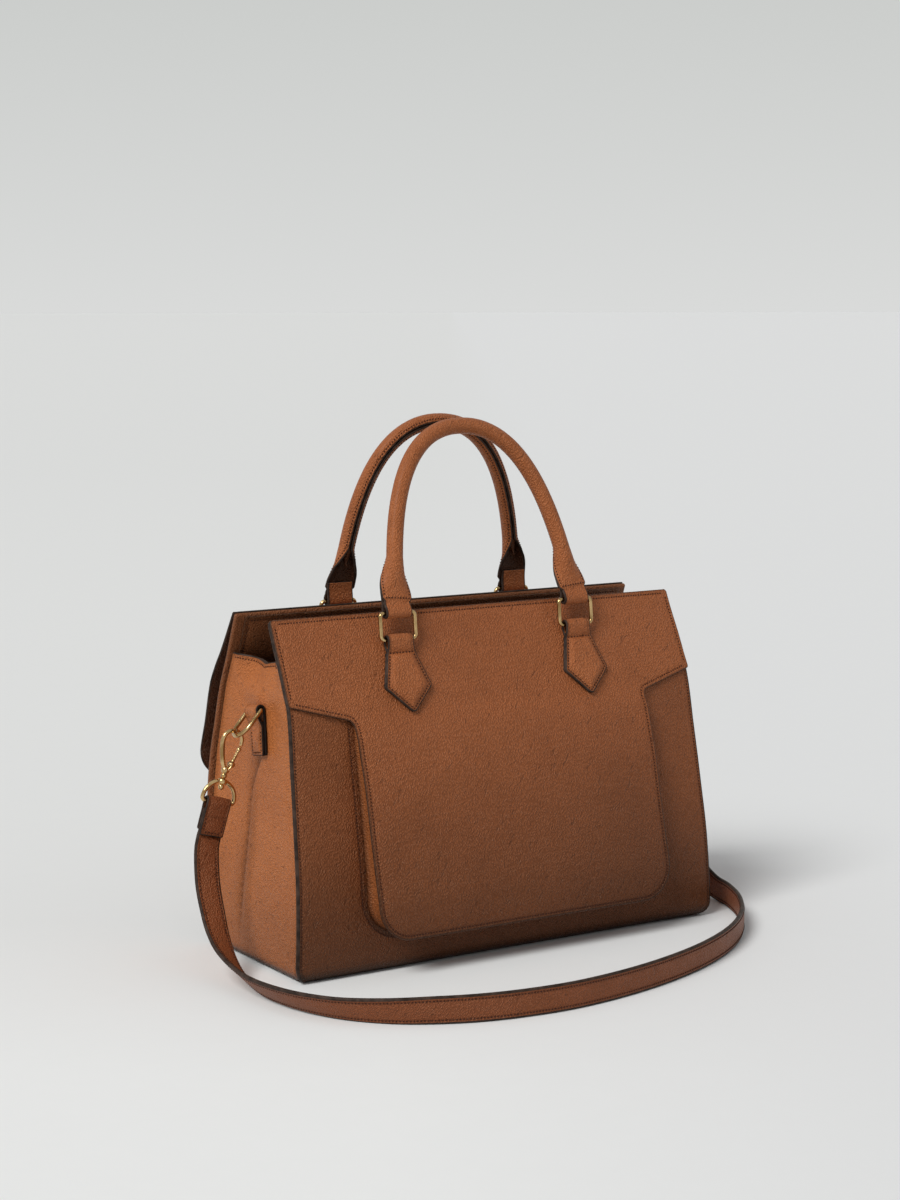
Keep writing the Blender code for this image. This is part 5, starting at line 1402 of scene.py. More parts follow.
def wrap_arc(radius, start, end, count=14):
    angles = np.radians(np.linspace(start, end, count))
    return [(radius * math.cos(a), radius * math.sin(a)) for a in angles]


TAB_LEATHER, SIDE_TAB_LEATHER, STRAP_END_LEATHER = 0.0019, 0.0020, 0.0017
TAB_SEAM_DEPTH, SIDE_TAB_SEAM_DEPTH, STRAP_END_SEAM_DEPTH = 0.0023, 0.0022, 0.0024
TAB_BACKING_TOP = 0.2180
TAB_FOLD = (
    # how far out, first from the panel and then from the ring's bar, and the height
    (0.0036, 0.2190), (0.0003, 0.2222), (0.0, 0.2250),
)
NARROW = {"spacing": 0.0014, "grid": 0.0016, "depths": (0.0013, 0.0018, 0.0022, 0.0027, 0.0034, 0.0044)}


def cross_line(half, reach, count):
    """A straight seam across a strip."""
    return np.array([(u, reach) for u in np.linspace(-half, half, count)])


def make_tabs():
    """Each tab: a backing, and a padded front whose neck goes over the ring's bar and down behind it."""
    for word, side, outer in (("front", -1, OVERLAY_OUTER), ("back", 1, YOKE_OUTER)):
        bar = pivot(word + "_rings_hinge")
        out = np.array((0.0, side, 0.0))
        across = X_AXIS if side < 0 else -X_AXIS
        half = TAB_LEATHER / 2

        def stand(z, level):
            """How far out of the bar's plane a layer on the panel is."""
            return side * (float(shifted(outer, side * level)(z)) - bar[1])

        for end, x in (("left", -TAB_HALF_SPACING), ("right", TAB_HALF_SPACING)):
            name = word + "_" + end + "_tab"
            origin = np.array((x, bar[1], 0.0))
            wrap = WIRE_RADIUS + WIRE_CLEARANCE + half
            heights = np.linspace(TAB_TIP - 0.004, 0.2165, 18)
            low = [(stand(z, 0.0001 + 1.5 * TAB_LEATHER), z) for z in heights]
            foot = [(stand(TAB_FOLD[0][1], TAB_FOLD[0][0]), TAB_FOLD[0][1])]
            rise = [(wrap + a, z) for a, z in TAB_FOLD[1:]]
            over = [(a, bar[2] + b) for a, b in wrap_arc(wrap, 0, 180)]
            behind = [(-wrap + 0.0002, 0.2240)]
            behind += [(stand(z, half + off), z) for z, off in ((TAB_BACKING_TOP, 0.0004), (0.2160, 0.0003))]
            path = smooth_points(low + foot + rise + over + behind, 5)
            surface, reach = strip_surface(path, origin, across, out, Z_AXIS)
            tip = 0.0040
            grown = np.interp(TAB_WIDEST, path[:80, 1], reach[:80])
            neck_at = np.interp(0.2187, path[:100, 1], reach[:100])
            total = reach[-1]
            neck = STRIP_HALF_WIDTH
            corners = (
                (0.0, tip, 0.0030), (TAB_HALF_WIDTH, grown, 0.0030), (neck + 0.0008, neck_at, 0.003),
                (neck, neck_at + 0.005, 0.003), (neck, total, 0.0012), (-neck, total, 0.0012),
                (-neck, neck_at + 0.005, 0.003), (-neck - 0.0008, neck_at, 0.003),
                (-TAB_HALF_WIDTH, grown, 0.0030),
            )
            seam_at = neck_at - 0.0006
            cross_seam = cross_line(neck - 0.0005, seam_at, 16)
            front = Sheet(
                corners, surface, TAB_LEATHER, 0.0, edge_seam=TAB_SEAM_DEPTH, grooves=[cross_seam],
                **PLAIN, **NARROW,
            )

            def padding(at, depth, neck_at=neck_at, seam_at=seam_at):
                pad = 0.0021 * ease((depth - 0.0018) / 0.0050) * ease((seam_at - at[:, 1]) / 0.0035)
                neck_share = ease((depth - 0.0015) / 0.003) * ease((at[:, 1] - neck_at - 0.001) / 0.003)
                return pad + 0.0004 * neck_share

            front.extra_relief = padding
            front.extra_shade = lambda at, depth: 0.12 * (1 - ease((depth - 0.002) / 0.003))
            settle(front.make(name + "_leather", TAN_LEATHER), ROOT, "light_leather", name)
            below = front.inset(TAB_SEAM_DEPTH, lambda p, top=neck_at: p[:, 1] < top - 0.001)
            sewn(front, name + "_thread", ROOT, "light_leather", below + [cross_seam])
            heights = np.linspace(TAB_TIP - 0.004, TAB_BACKING_TOP, 30)
            back_path = np.array([(stand(z, 0.0001 + half), z) for z in heights])
            back_surface_at, back_reach = strip_surface(back_path, origin, across, out, Z_AXIS)
            widest = np.interp(TAB_WIDEST, back_path[:, 1], back_reach)
            high = back_reach[-1]
            shape = (
                (0.0, tip, 0.0022), (TAB_HALF_WIDTH, widest, 0.0025), (neck + 0.0012, high - 0.002, 0.001),
                (neck + 0.001, high, 0.001), (-neck - 0.001, high, 0.001),
                (-neck - 0.0012, high - 0.002, 0.001), (-TAB_HALF_WIDTH, widest, 0.0025),
            )
            backing = Sheet(shape, back_surface_at, TAB_LEATHER, 0.0, spacing=0.002, **CORE)
            settle(backing.make(name + "_backing", DARK_LEATHER), ROOT, "dark_leather")


D_RING_AXIS = np.array((0.0, math.cos(SIDE_TAB_LEAN), -math.sin(SIDE_TAB_LEAN)))


def side_seat(z):
    return float(side_width(z)) - GUSSET_INSET - GUSSET_FOLD_DEPTH * GUSSET_TAB_SHARE


def make_side_tabs():
    """Each side tab leans, goes over the D-ring's bar and comes back down behind itself."""
    leather = SIDE_TAB_LEATHER
    for word, side in (("left", -1), ("right", 1)):
        bar = pivot(word + "_d_ring_swing")
        out = np.array((side, 0.0, 0.0))
        up = np.array((0.0, math.sin(SIDE_TAB_LEAN), math.cos(SIDE_TAB_LEAN)))
        across = side * D_RING_AXIS
        wrap = WIRE_RADIUS + WIRE_CLEARANCE + leather / 2
        away = abs(bar[0])

        def layer(along, level):
            """A place on the gusset, by the distance along the tab from the ring's bar."""
            return side_seat(bar[2] + along * up[2]) + level, along

        front = 0.0003 + SIDE_TAB_THICKNESS - leather / 2
        behind = 0.0003 + leather / 2
        path = [layer(b, front) for b in np.linspace(-SIDE_TAB_LENGTH, -0.011, 7)]
        path += [(away + wrap - 0.0013, -0.0060), (away + wrap - 0.0002, -0.0026)]
        path += [(away + a, b) for a, b in wrap_arc(wrap, 0, 180)]
        path += [(away - wrap + 0.0001, -0.0030)]
        path += [layer(b, behind) for b in np.linspace(-0.0075, -SIDE_TAB_LENGTH, 7)]
        path = smooth_points(path, 5)
        origin = np.array((0.0, bar[1], bar[2]))
        surface, reach = strip_surface(path, origin, across, out, up)
        total = reach[-1]
        top_half, foot_half = SIDE_TAB_TOP_WIDTH / 2, SIDE_TAB_BOTTOM_WIDTH / 2
        middle = total * 0.5
        corners = (
            (foot_half, 0.0, 0.0012), (top_half, middle - 0.010, 0.01), (top_half, middle + 0.010, 0.01),
            (foot_half, total, 0.0012), (-foot_half, total, 0.0012),
            (-top_half, middle + 0.010, 0.01), (-top_half, middle - 0.010, 0.01), (-foot_half, 0.0, 0.0012),
        )
        tab = Sheet(
            corners, surface, leather, 0.0, edge_seam=SIDE_TAB_SEAM_DEPTH, **PLAIN, **NARROW,
        )
        tab.extra_relief = lambda at, depth: (
            0.0006 * ease((depth - 0.002) / 0.003) * ease((0.016 - at[:, 1]) / 0.004)
        )
        name = word + "_side_tab"
        made = tab.make(name + "_leather", GUSSET_LEATHER, paint=DARK_PAINT, painted=(2, RIM_STEPS))
        settle(made, ROOT, "light_leather", name)
        runs = tab.inset(SIDE_TAB_SEAM_DEPTH, lambda p: p[:, 1] < 0.018)
        sewn(tab, name + "_thread", ROOT, "light_leather", runs)
        places = np.linspace(-SIDE_TAB_LENGTH + 0.0003, -0.0085, 12)
        filler_path = np.array([layer(b, 0.0003 + SIDE_TAB_THICKNESS / 2) for b in places])
        surface, reach = strip_surface(filler_path, origin, across, out, up)
        low, high = foot_half - 0.00035, foot_half + (top_half - foot_half) * 0.75 - 0.00035
        end = reach[-1]
        core = Sheet(
            ((low, 0.0, 0.001), (high, end, 0.0005), (-high, end, 0.0005), (-low, 0.0, 0.001)), surface,
            0.0016, 0.0, **CORE,
        )
        settle(core.make(name + "_edge", DARK_LEATHER, paint=DARK_PAINT), ROOT, "dark_leather")


def make_strap_ends():
    leather = STRAP_END_LEATHER
    for word, side in (("left", -1), ("right", 1)):
        bar, inward, _, up = hook_axes(side)
        facing = np.cross(inward, up)
        wrap = WIRE_RADIUS + WIRE_CLEARANCE + leather / 2
        flat = STRAP_THICKNESS / 2 + leather / 2 + 0.0001
        foot = -STRAP_END_LENGTH
        path = [(flat, b) for b in np.linspace(foot, -0.006, 8)] + [(wrap - 0.0001, -0.0025)]
        path += wrap_arc(wrap, 0, 180)
        path += [(-wrap + 0.0001, -0.0025)] + [(-flat, b) for b in np.linspace(-0.006, foot + 0.003, 8)]
        path = smooth_points(path, 5)
        surface, reach = strip_surface(path, bar, inward, facing, up)
        total, half = reach[-1], STRAP_WIDTH / 2
        corners = ((half, 0.0, 0.0016), (half, total, 0.0016), (-half, total, 0.0016), (-half, 0.0, 0.0016))
        end = Sheet(
            corners, surface, leather, 0.0, spacing=0.0016, grid=0.002,
            depths=(0.0012, 0.0018, 0.0024, 0.0030, 0.0040), edge_seam=STRAP_END_SEAM_DEPTH, puff=0.0002,
            waviness=(0.00015, 0.02, 3),
            grooves=[cross_line(half - 0.001, total / 2 + off, 14) for off in (-0.0135, 0.0135)],
        )
        name = word + "_strap_end"
        item = end.make(name + "_leather", STRAP_LEATHER)
        settle(item, ROOT, "dark_leather", name)
        runs = end.inset(STRAP_END_SEAM_DEPTH, lambda p, m=total / 2: np.abs(p[:, 1] - m) > 0.014)
        sewn(end, name + "_thread", ROOT, "dark_leather", runs)
        tongue_path = np.array([(0.0, foot - 0.0006), (0.0, -0.0085), (0.0, -0.0052)])
        surface, reach = strip_surface(tongue_path, bar, inward, facing, up)
        wide, high = half - 0.0002, reach[-1]
        tongue = Sheet(
            ((wide, 0.0, 0.0003), (wide, high, 0.0003), (-wide, high, 0.0003), (-wide, 0.0, 0.0003)),
            surface, STRAP_THICKNESS - 0.0002, 0.0, **CORE,
        )
        settle(tongue.make(name + "_tongue", STRAP_LEATHER), ROOT, "dark_leather")


# Rings and handles


def arc(centre, radius, start, end, steps):
    turns = [math.radians(start + (end - start) * i / steps) for i in range(steps + 1)]
    return [(centre[0] + radius * math.cos(t), centre[1] + radius * math.sin(t)) for t in turns]


def spaced(points, spacing):
    """A closed line with points added along its straight stretches."""
    made = []
    for a, b in zip(points, points[1:] + points[:1]):
        a, b = np.array(a, float), np.array(b, float)
        length = np.linalg.norm(b - a)
        if length < 1e-7:
            continue
        count = max(1, round(length / spacing))
        made += [a + (b - a) * k / count for k in range(count)]
    return np.array(made)


def rectangle_line(width, height, radius):
    half = width / 2 - radius
    points = []
    for sx, sz, start in ((1, 0, -90), (1, 1, 0), (-1, 1, 90), (-1, 0, 180)):
        points += arc((sx * half, radius + sz * (height - 2 * radius)), radius, start, start + 90, 8)
    return spaced(points, 0.003)


def d_line(width, height, radius):
    half = width / 2
    points = arc((half - radius, radius), radius, -90, 0, 8)
    points += arc((0, height - half), half, 0, 180, 32)
    return spaced(points + arc((radius - half, radius), radius, 180, 270, 8), 0.003)


def make_rings():
    for word, side, lean in (("front", -1, FRONT_RING_LEAN), ("back", 1, BACK_RING_LEAN)):
        lower = pivot(word + "_rings_hinge")
        up = np.array((0.0, -side * math.sin(lean), math.cos(lean)))
        line = rectangle_line(RING_WIDTH, RING_HEIGHT, RING_CORNER_RADIUS)
        for end, x in (("left", -TAB_HALF_SPACING), ("right", TAB_HALF_SPACING)):
            at = lower + X_AXIS * x + line[:, :1] * X_AXIS + line[:, 1:] * up
            name = word + "_" + end + "_ring"
            item = put(name + "_metal", *tube(at, WIRE_RADIUS, np.cross(X_AXIS, up), True), [METAL])
            settle(item, word + "_rings", "pale_gold", name)


SHOULDER = (
    # share of the shoulder's height, width, leather thickness, wrap in degrees
    (0.00, 0.0213, 0.0022, 2), (0.195, 0.0216, 0.0022, 6), (0.245, 0.0249, 0.0024, 20),
    (0.39, 0.0252, 0.0024, 60), (0.554, 0.0257, 0.0023, 130), (0.634, 0.0259, 0.0022, 168),
    (0.693, 0.0267, 0.0021, 205),
    (0.78, 0.0277, 0.0021, 245), (0.92, 0.0288, 0.0021, 312), (1.00, 0.0298, 0.0021, 346),
    (2.00, 0.0302, 0.0021, 352),
)
SHOULDER_LINES = [smooth_line([(row[0], row[k]) for row in SHOULDER]) for k in (1, 2, 3)]
SECTION_DEPTH = smooth_line((
    (0.0, 0.0046), (0.195, 0.0046), (0.245, 0.0050), (0.39, 0.0062), (0.554, 0.0086), (0.634, 0.0097),
    (0.693, 0.0106), (0.78, 0.0113), (0.92, 0.0121), (1.0, 0.0124), (2.0, 0.0124),
))
HANDLE_FOLD_TOP = 0.0070
CROSS_SEAM_HEIGHT = 0.0104
HANDLE_EDGE_DEPTHS = (0.0, 0.0005, 0.0011, 0.0018, 0.0026, 0.0034, 0.0048)
HANDLE_SEAM_DEPTH, HANDLE_GROOVE = 0.0026, 0.00016
HANDLE_LEATHER, HANDLE_STRIP_DEPTH = 0.0022, 0.0046
CORE_START_SHARE = 0.66  # of the shoulder's height
OUTSIDE, EDGE, INSIDE = 0, 1, 2
KIND_SHADES = {OUTSIDE: 0.0, EDGE: 0.8, INSIDE: 0.45}


def arch(t):
    """Across and up the handle's arch, for t from 0 to 1."""
    angle = math.pi * t
    power = 2 / HANDLE_ARCH_EXPONENT
    across = -math.copysign(abs(math.cos(angle)) ** power, math.cos(angle)) * TAB_HALF_SPACING
    up = max(0.0, math.sin(angle)) ** power * HANDLE_ARCH_HEIGHT
    share = up / HANDLE_ARCH_HEIGHT
    return across * (1 + HANDLE_BULGE_SHARE * 4 * share * (1 - share)), up


def arch_start(height):
    low, high = 0.0, 0.5
    for _ in range(50):
        middle = (low + high) / 2
        low, high = (middle, high) if arch(middle)[1] < height else (low, middle)
    return low


def section_ring(apex, beside, out, width, leather, wrap):
    """One section of the handle's rolled leather, and the kind of each of its points."""
    radius = width / wrap
    half = leather / 2
    edge = width / 2 - half
    steps = [edge - d for d in HANDLE_EDGE_DEPTHS]
    across = steps[:-1] + [steps[-1] * (1 - k / 6) for k in range(6)]
    across = across + [0.0] + [-a for a in reversed(across)]
    ring, kinds = [], []

    def spot(arc_length, height):
        angle = arc_length / radius
        spoke = math.cos(angle) * out + math.sin(angle) * beside
        return apex - out * radius + (radius + height) * spoke

    for a in across:
        depth = edge + half - abs(a)
        groove = HANDLE_GROOVE * math.exp(-((depth - HANDLE_SEAM_DEPTH) / 0.0006) ** 2)
        ring.append(spot(a, half - groove))
        kinds.append(EDGE if abs(a) > edge - 0.0001 else OUTSIDE)
    for k in range(1, 5):
        turn = math.pi * k / 5
        ring.append(spot(-edge - half * math.sin(turn), half * math.cos(turn)))
        kinds.append(EDGE)
    for a in reversed(across):
        ring.append(spot(a, -half))
        kinds.append(EDGE if abs(a) > edge - 0.0001 else INSIDE)
    for k in range(1, 5):
        turn = math.pi * k / 5
        ring.append(spot(edge + half * math.sin(turn), -half * math.cos(turn)))
        kinds.append(EDGE)
    return np.array(ring), kinds


def make_handle(word, side, lean, side_lean):
    hinge = pivot(word + "_handle_hinge")
    up = np.array((side_lean, -side * math.sin(lean), math.cos(lean)))
    out = side * np.array((0.0, math.cos(lean), side * math.sin(lean)))
    body = word + "_handle"
    leather = HANDLE_LEATHER
    wrap = WIRE_RADIUS + WIRE_CLEARANCE + leather / 2
    layer = HANDLE_STRIP_DEPTH / 2 - leather / 2
    foot = [(-layer, 0.0145), (-layer, 0.0115), (-layer - 0.0005, 0.0070), (-wrap + 0.0002, 0.0025)]
    foot += [(a, b) for a, b in wrap_arc(wrap, 180, 360, 12)]
    foot += [(wrap - 0.0002, 0.0025), (layer + 0.0004, 0.0050), (layer, HANDLE_FOLD_TOP)]
    foot = smooth_points(foot, 3)
    half_path = [
        (place, np.array((way[1], -way[0]))) for place, way in zip(foot, map(unit, np.gradient(foot, axis=0)))
    ]

    def folded_end(end):
        """The stations of the flat strip which goes round a ring at one end of the handle."""
        rows = []
        for (o, b), (no, nb) in half_path:
            origin = hinge + X_AXIS * end * TAB_HALF_SPACING + o * out + b * up
            height = b if no > 0 or o > 0 else -1.0
            rows.append((
                origin, -X_AXIS if end < 0 else X_AXIS, no * out + nb * up, 2 * STRIP_HALF_WIDTH, leather,
                math.radians(2), height,
            ))
        return rows[::-end]

    stations = folded_end(-1)
    start, first = arch_start(HANDLE_FOLD_TOP + 0.0005), arch_start(0.041)
    low = [start + (first - start) * k / 44 for k in range(44)]
    middle = [first + (1 - 2 * first) * k / 90 for k in range(91)]
    for t in low + middle + [1 - t for t in reversed(low)]:
        a, b = arch(t)
        a0, b0 = arch(max(1e-6, t - 0.001))
        a1, b1 = arch(min(1 - 1e-6, t + 0.001))
        way = unit((a1 - a0, b1 - b0))
        share = min(2.0, b / HANDLE_SHOULDER_HEIGHT)
        width, thick, degrees = (float(line(share)) for line in SHOULDER_LINES)
        depth = float(SECTION_DEPTH(share))
        centre = hinge + a * X_AXIS + b * up + out * (depth / 2 - thick / 2)
        beside = -way[1] * X_AXIS + way[0] * up
        stations.append((centre, beside, out, width, thick, math.radians(degrees), b))
    stations += folded_end(1)
    rings, kinds = [], None
    for apex, beside, facing, width, thick, turn, _ in stations:
        ring, kinds = section_ring(apex, unit(beside), unit(facing), width, thick, turn)
        rings.append(ring)
    points, faces = loft(rings)
    # A face between the edge and another kind is of the lesser of the two.
    faces_round = [min(pair) if EDGE in pair else pair[0] for pair in zip(kinds, kinds[1:] + kinds[:1])]
    index = faces_round * (len(rings) - 1) + [EDGE, EDGE]
    shade = np.tile([KIND_SHADES[k] for k in kinds], len(rings))
    item = put(word + "_handle_leather", points, faces, [TAN_LEATHER, PAINT, DARK_LEATHER], index, shade)
    settle(item, body, "light_leather", word + "_handle")
    lines = []
    for sign in (-1, 1):
        spots, outs = [], []
        for apex, beside, facing, width, thick, turn, height in stations:
            if height < CROSS_SEAM_HEIGHT + 0.001:
                continue
            beside, facing = unit(beside), unit(facing)
            radius = width / turn
            angle = sign * (width / 2 - HANDLE_SEAM_DEPTH) / radius
            spoke = math.cos(angle) * facing + math.sin(angle) * beside
            spots.append(apex - facing * radius + (radius + thick / 2 - HANDLE_GROOVE) * spoke)
            outs.append(spoke)
        lines.append((np.array(spots), np.array(outs)))
    for end in (-1, 1):
        here = [r for r in stations if (r[0] - hinge)[0] * end > 0]
        apex, beside, facing, width, thick, turn, _ = min(here, key=lambda r: abs(r[6] - CROSS_SEAM_HEIGHT))
        offsets = np.linspace(-0.0104, 0.0104, 12)
        lines.append((
            np.array([apex + unit(beside) * a + unit(facing) * (thick / 2) for a in offsets]),
            np.array([unit(facing)] * len(offsets)),
        ))
    stitches(word + "_handle_thread", lines, body, "light_leather")
    core = []
    radii = []
    for apex, beside, facing, width, thick, turn, height in stations:
        share = height / HANDLE_SHOULDER_HEIGHT
        if share < CORE_START_SHARE:
            continue
        radius = width / turn
        core.append(apex - unit(facing) * radius)
        grown = 0.0006 + 0.0034 * float(ease((share - CORE_START_SHARE) / 0.3))
        radii.append(min(radius - thick / 2 - 0.0002, grown))
    made = put(word + "_handle_core", *tube(core, np.array(radii), out, sides=12), [DARK_LEATHER])
    settle(made, body, "dark_leather")


# Hooks and D-rings


COLLAR = (
    # radius, height over the D-base's bow
    (0.0015, -0.0018), (0.0026, -0.0018), (0.0033, -0.0012), (0.0034, 0.0), (0.0033, 0.0012),
    (0.0026, 0.0018), (0.0015, 0.0018),
)
CLAW_RADII = (
    # shares of the claw's length, and the radii there
    (0.0, 0.12, 0.30, 0.48, 0.62, 0.85, 0.97, 1.0),
    (0.0014, 0.0017, 0.0018, 0.0016, 0.0014, 0.0014, 0.0013, 0.0009),
)

def on_claw(shares):
    return shares[0] * CLAW_HALF_WIDTH, HUB_HEIGHT + shares[1] * CLAW_HEIGHT


def make_clips():
    for word, side in (("left", -1), ("right", 1)):
        bar, inward, beside, up = hook_axes(side)

        def place(a, b, c=0.0):
            return bar + a * inward + c * beside + b * up

        swing = pivot(word + "_d_ring_swing")
        fall = np.array((0.0, -math.sin(SIDE_TAB_LEAN), -math.cos(SIDE_TAB_LEAN)))
        down = side * math.sin(D_RING_HANG_ANGLE) * X_AXIS + math.cos(D_RING_HANG_ANGLE) * fall
        line = d_line(D_RING_WIDTH, D_RING_LENGTH, D_RING_CORNER_RADIUS)
        at = swing + line[:, :1] * D_RING_AXIS + line[:, 1:] * down
        item = put(word + "_d_ring_metal", *tube(at, WIRE_RADIUS, np.cross(D_RING_AXIS, down), True), [METAL])
        settle(item, word + "_d_ring", "pale_gold", word + "_d_ring")

        line = d_line(D_BASE_WIDTH, D_BASE_HEIGHT, D_BASE_CORNER_RADIUS)
        at = np.array([place(a, b) for a, b in line])
        bow = tube(at, WIRE_RADIUS, beside, True)
        top = D_BASE_HEIGHT
        collar = turned([(radius, top + off) for radius, off in COLLAR], bar, up)
        item = put(word + "_d_base_metal", *together(bow, collar), [METAL])
        settle(item, word + "_d_base", "pale_gold", word + "_d_base")

        bead = 0.0022
        away = 0.0018 + GAP + bead * math.sin(math.radians(60))
        profile = ball_profile(bead, top - away, -90, 58) + [(0.00115, top - 0.0019), (0.00115, top + 0.0019)]
        profile += ball_profile(bead, top + away, -58, 40) + [(0.0016, HUB_HEIGHT - 0.0026)]
        profile += ball_profile(0.0029, HUB_HEIGHT, -50, 90)
        stem = turned(profile, bar, up)
        claw = smooth_points([on_claw(shares) for shares in CLAW_SHARES], 8)
        share = np.linspace(0.0, 1.0, len(claw))
        radii = np.interp(share, *CLAW_RADII)
        flats = np.interp(share, (0.0, 0.3, 0.62, 1.0), (1.0, 0.8, 1.0, 1.0))
        points3 = np.array([place(a, b) for a, b in claw])
        horn = tube(points3, radii, inward, sides=18, flat=flats)
        eye = np.array(on_claw(GATE_PIVOT_SHARES))
        parts = [stem, horn]
        inner, outer = 0.0012 + GAP, 0.0012 + GAP + 0.0011
        for sign in (-1, 1):
            cheek_profile = [
                (0.0, inner), (0.0017, inner), (0.0019, inner + 0.0002), (0.0019, outer - 0.0003),
                (0.0015, outer), (0.0, outer),
            ]
            cheek = turned(cheek_profile, place(*eye), sign * beside)
            foot = place(eye[0] * 0.25, HUB_HEIGHT, sign * (inner + outer) / 2)
            head = place(eye[0], eye[1], sign * (inner + outer) / 2)
            parts += [cheek, tube(np.linspace(foot, head, 5), 0.0007, sides=12)]
        item = put(word + "_hook_metal", *together(*parts), [METAL])
        settle(item, word + "_hook", "pale_gold", word + "_hook", word + "_gate_pin")

        tip = np.array(on_claw(CLAW_SHARES[-1]))
        way = unit(tip - eye)
        length = float(np.linalg.norm(tip - eye)) - 0.0007
        axis = way[0] * inward + way[1] * up
        outline = [(0.0, 0.0010), (0.0009, 0.0012), (0.0012, 0.0022), (0.0012, 0.0034), (0.0009, 0.0037)]
        ridge_start, ridge_end, ridges = 0.0040, length * 0.72, 9
        pitch = (ridge_end - ridge_start) / ridges
        for k in range(ridges):
            low = ridge_start + k * pitch
            outline += [(0.00085, low), (0.00118, low + pitch * 0.3), (0.00118, low + pitch * 0.65)]
        knob = ((0.0009, 0.0), (0.0014, 0.0006), (0.0016, 0.0016), (0.0014, 0.0026), (0.0010, 0.0030))
        outline += [(radius, ridge_end + off) for radius, off in knob] + [(0.0010, length), (0.0, length)]
        rod = turned(outline, place(*eye), axis, 20)
        ring_profile = [
            (0.0006, -0.0012), (0.0016, -0.0012), (0.0019, -0.0009), (0.0019, 0.0009), (0.0016, 0.0012),
            (0.0006, 0.0012),
        ]
        ring = turned(ring_profile, place(*eye), beside, 24)
        item = put(word + "_gate_metal", *together(rod, ring), [METAL])
        settle(item, word + "_gate", "pale_gold", word + "_gate")


strap_length = make_strap()
make_front()
make_pocket_strips()
make_back()
make_gussets()
inner_sheets()
make_base()
make_tabs()
make_side_tabs()
make_strap_ends()
make_rings()
make_handle("front", -1, FRONT_HANDLE_LEAN, 0.0)
make_handle("back", 1, BACK_HANDLE_LEAN, BACK_HANDLE_SIDE_LEAN_SHARE)
make_clips()


# Floor, light and background

FLOOR_SIZE = 140.0
FLOOR_NEAR = (225, 226, 224)
# Painted light falloff on the floor: lighter at the front, darker far off and to the right.
FLOOR_FAR_PAINTED_SHADE = (222, 223, 221)
FLOOR_FRONT_PAINTED_LIGHT = (234, 235, 233)
FLOOR_RIGHT_PAINTED_SHADE = (224, 225, 224)
SKY_LOW = (217, 218, 217)
SKY_HIGH = (203, 205, 203)
SKY_RISE = 0.13
FLOOR_TURN = math.radians(-32.57)
AMBIENT = 0.43
SUN_STRENGTH = 2.38
SUN_FROM = Vector((-0.95, -0.34, 1.07))
SUN_WIDTH = math.radians(26)
AMBIENT_COLOUR = (250, 250, 252)
SPECKS = (205, 205, 204)


def floor_material():
    """Pale paper with painted light falloff: lighter in front, and a little darker with the distance and to
    the right.
    """
    s = Shader("floor", Specular_IOR_Level=0.2)
    parts = s.add("SeparateXYZ", {0: s.stretched((1.0, 1.0, 1.0), (0.0, 0.0, FLOOR_TURN))}).outputs
    distance = s.add("VectorMath", {0: s.where}, operation="LENGTH").outputs["Value"]
    far = s.mix(s.range(distance, 0.6, 5.0), socket(FLOOR_NEAR), socket(FLOOR_FAR_PAINTED_SHADE))
    near = s.mix(s.range(parts["Y"], 0.02, -0.34), far, socket(FLOOR_FRONT_PAINTED_LIGHT))
    toned = s.mix(s.range(parts["X"], -0.05, 0.30), near, socket(FLOOR_RIGHT_PAINTED_SHADE))
    s.colour(s.mix(s.range(s.noise(60.0, 2.0), 0.2, 0.8, 0.0, 0.03), toned, socket(SPECKS)))
    s.rough(s.range(s.noise(40.0, 2.0), 0.3, 0.7, 0.75, 0.85))
    return s.material


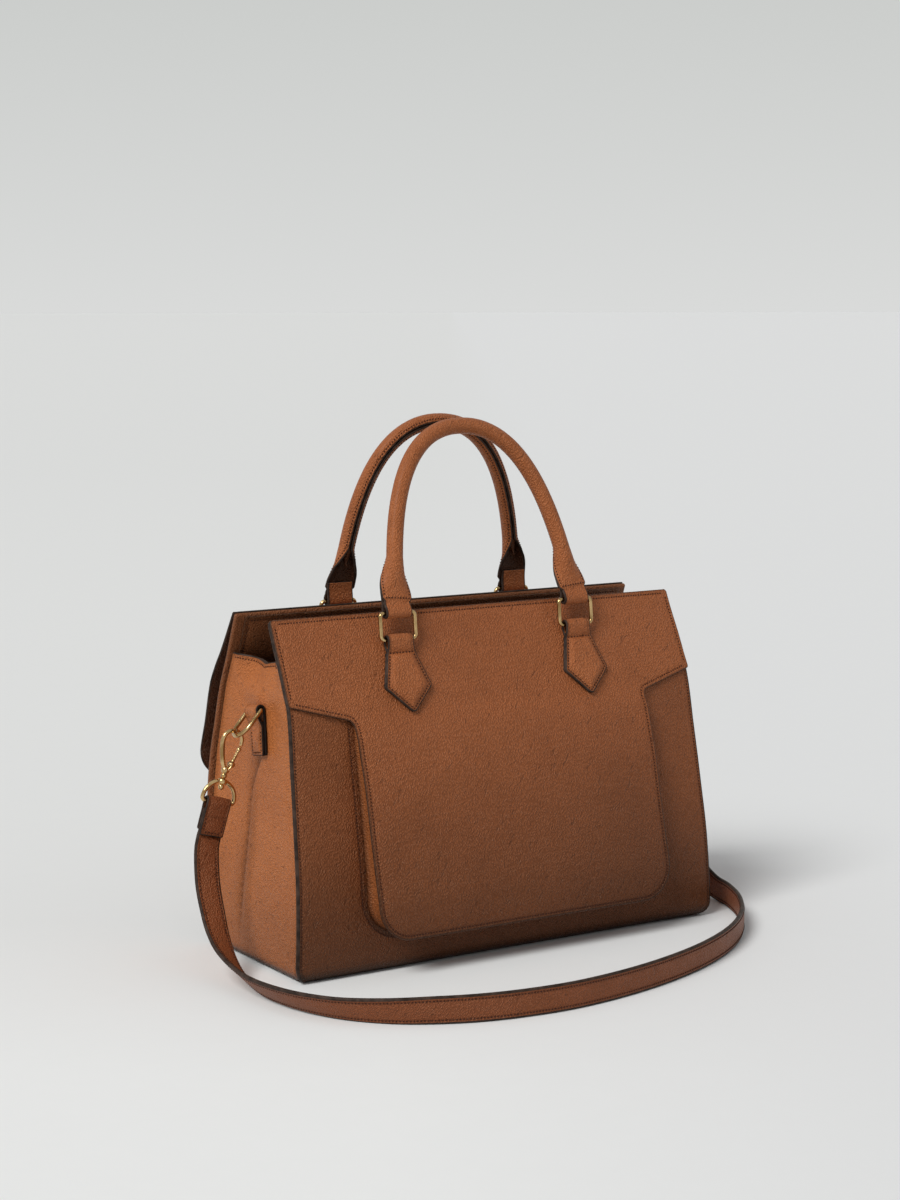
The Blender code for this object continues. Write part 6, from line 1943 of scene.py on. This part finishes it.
floor = put("floor", [
    (-FLOOR_SIZE, -FLOOR_SIZE, 0.0), (FLOOR_SIZE, -FLOOR_SIZE, 0.0), (FLOOR_SIZE, FLOOR_SIZE, 0.0),
    (-FLOOR_SIZE, FLOOR_SIZE, 0.0),
], [(0, 1, 2, 3)], [floor_material()])


def make_world():
    """Even light all round. The camera, glossy and transmitted rays see the pale backdrop instead."""
    world = bpy.data.worlds.new("studio")
    SCENE.world = world
    world.use_nodes = True
    nodes, links = world.node_tree.nodes, world.node_tree.links
    nodes.clear()
    rays = nodes.new("ShaderNodeLightPath")
    seen = rays.outputs["Is Camera Ray"]
    for kind in ("Is Glossy Ray", "Is Transmission Ray"):
        either = nodes.new("ShaderNodeMath")
        either.operation = "MAXIMUM"
        links.new(seen, either.inputs[0])
        links.new(rays.outputs[kind], either.inputs[1])
        seen = either.outputs[0]
    ambient = nodes.new("ShaderNodeBackground")
    ambient.inputs["Color"].default_value = socket(AMBIENT_COLOUR)
    ambient.inputs["Strength"].default_value = AMBIENT
    way = nodes.new("ShaderNodeTexCoord")
    parts = nodes.new("ShaderNodeSeparateXYZ")
    links.new(way.outputs["Generated"], parts.inputs[0])
    height = nodes.new("ShaderNodeMapRange")
    links.new(parts.outputs["Z"], height.inputs["Value"])
    height.inputs["From Max"].default_value = SKY_RISE
    colour = nodes.new("ShaderNodeMix")
    colour.data_type = "RGBA"
    links.new(height.outputs[0], colour.inputs[0])
    colour.inputs[6].default_value, colour.inputs[7].default_value = socket(SKY_LOW), socket(SKY_HIGH)
    shown = nodes.new("ShaderNodeBackground")
    links.new(colour.outputs[2], shown.inputs["Color"])
    mixed = nodes.new("ShaderNodeMixShader")
    links.new(seen, mixed.inputs[0])
    links.new(ambient.outputs[0], mixed.inputs[1])
    links.new(shown.outputs[0], mixed.inputs[2])
    links.new(mixed.outputs[0], nodes.new("ShaderNodeOutputWorld").inputs["Surface"])


make_world()
sun = bpy.data.objects.new("key_light", bpy.data.lights.new("key_light", "SUN"))
sun.data.energy = SUN_STRENGTH
sun.data.angle = SUN_WIDTH
sun.rotation_mode = "QUATERNION"
sun.rotation_quaternion = SUN_FROM.to_track_quat("Z", "Y")
SCENE.collection.objects.link(sun)

SCENE.view_settings.view_transform = "Standard"
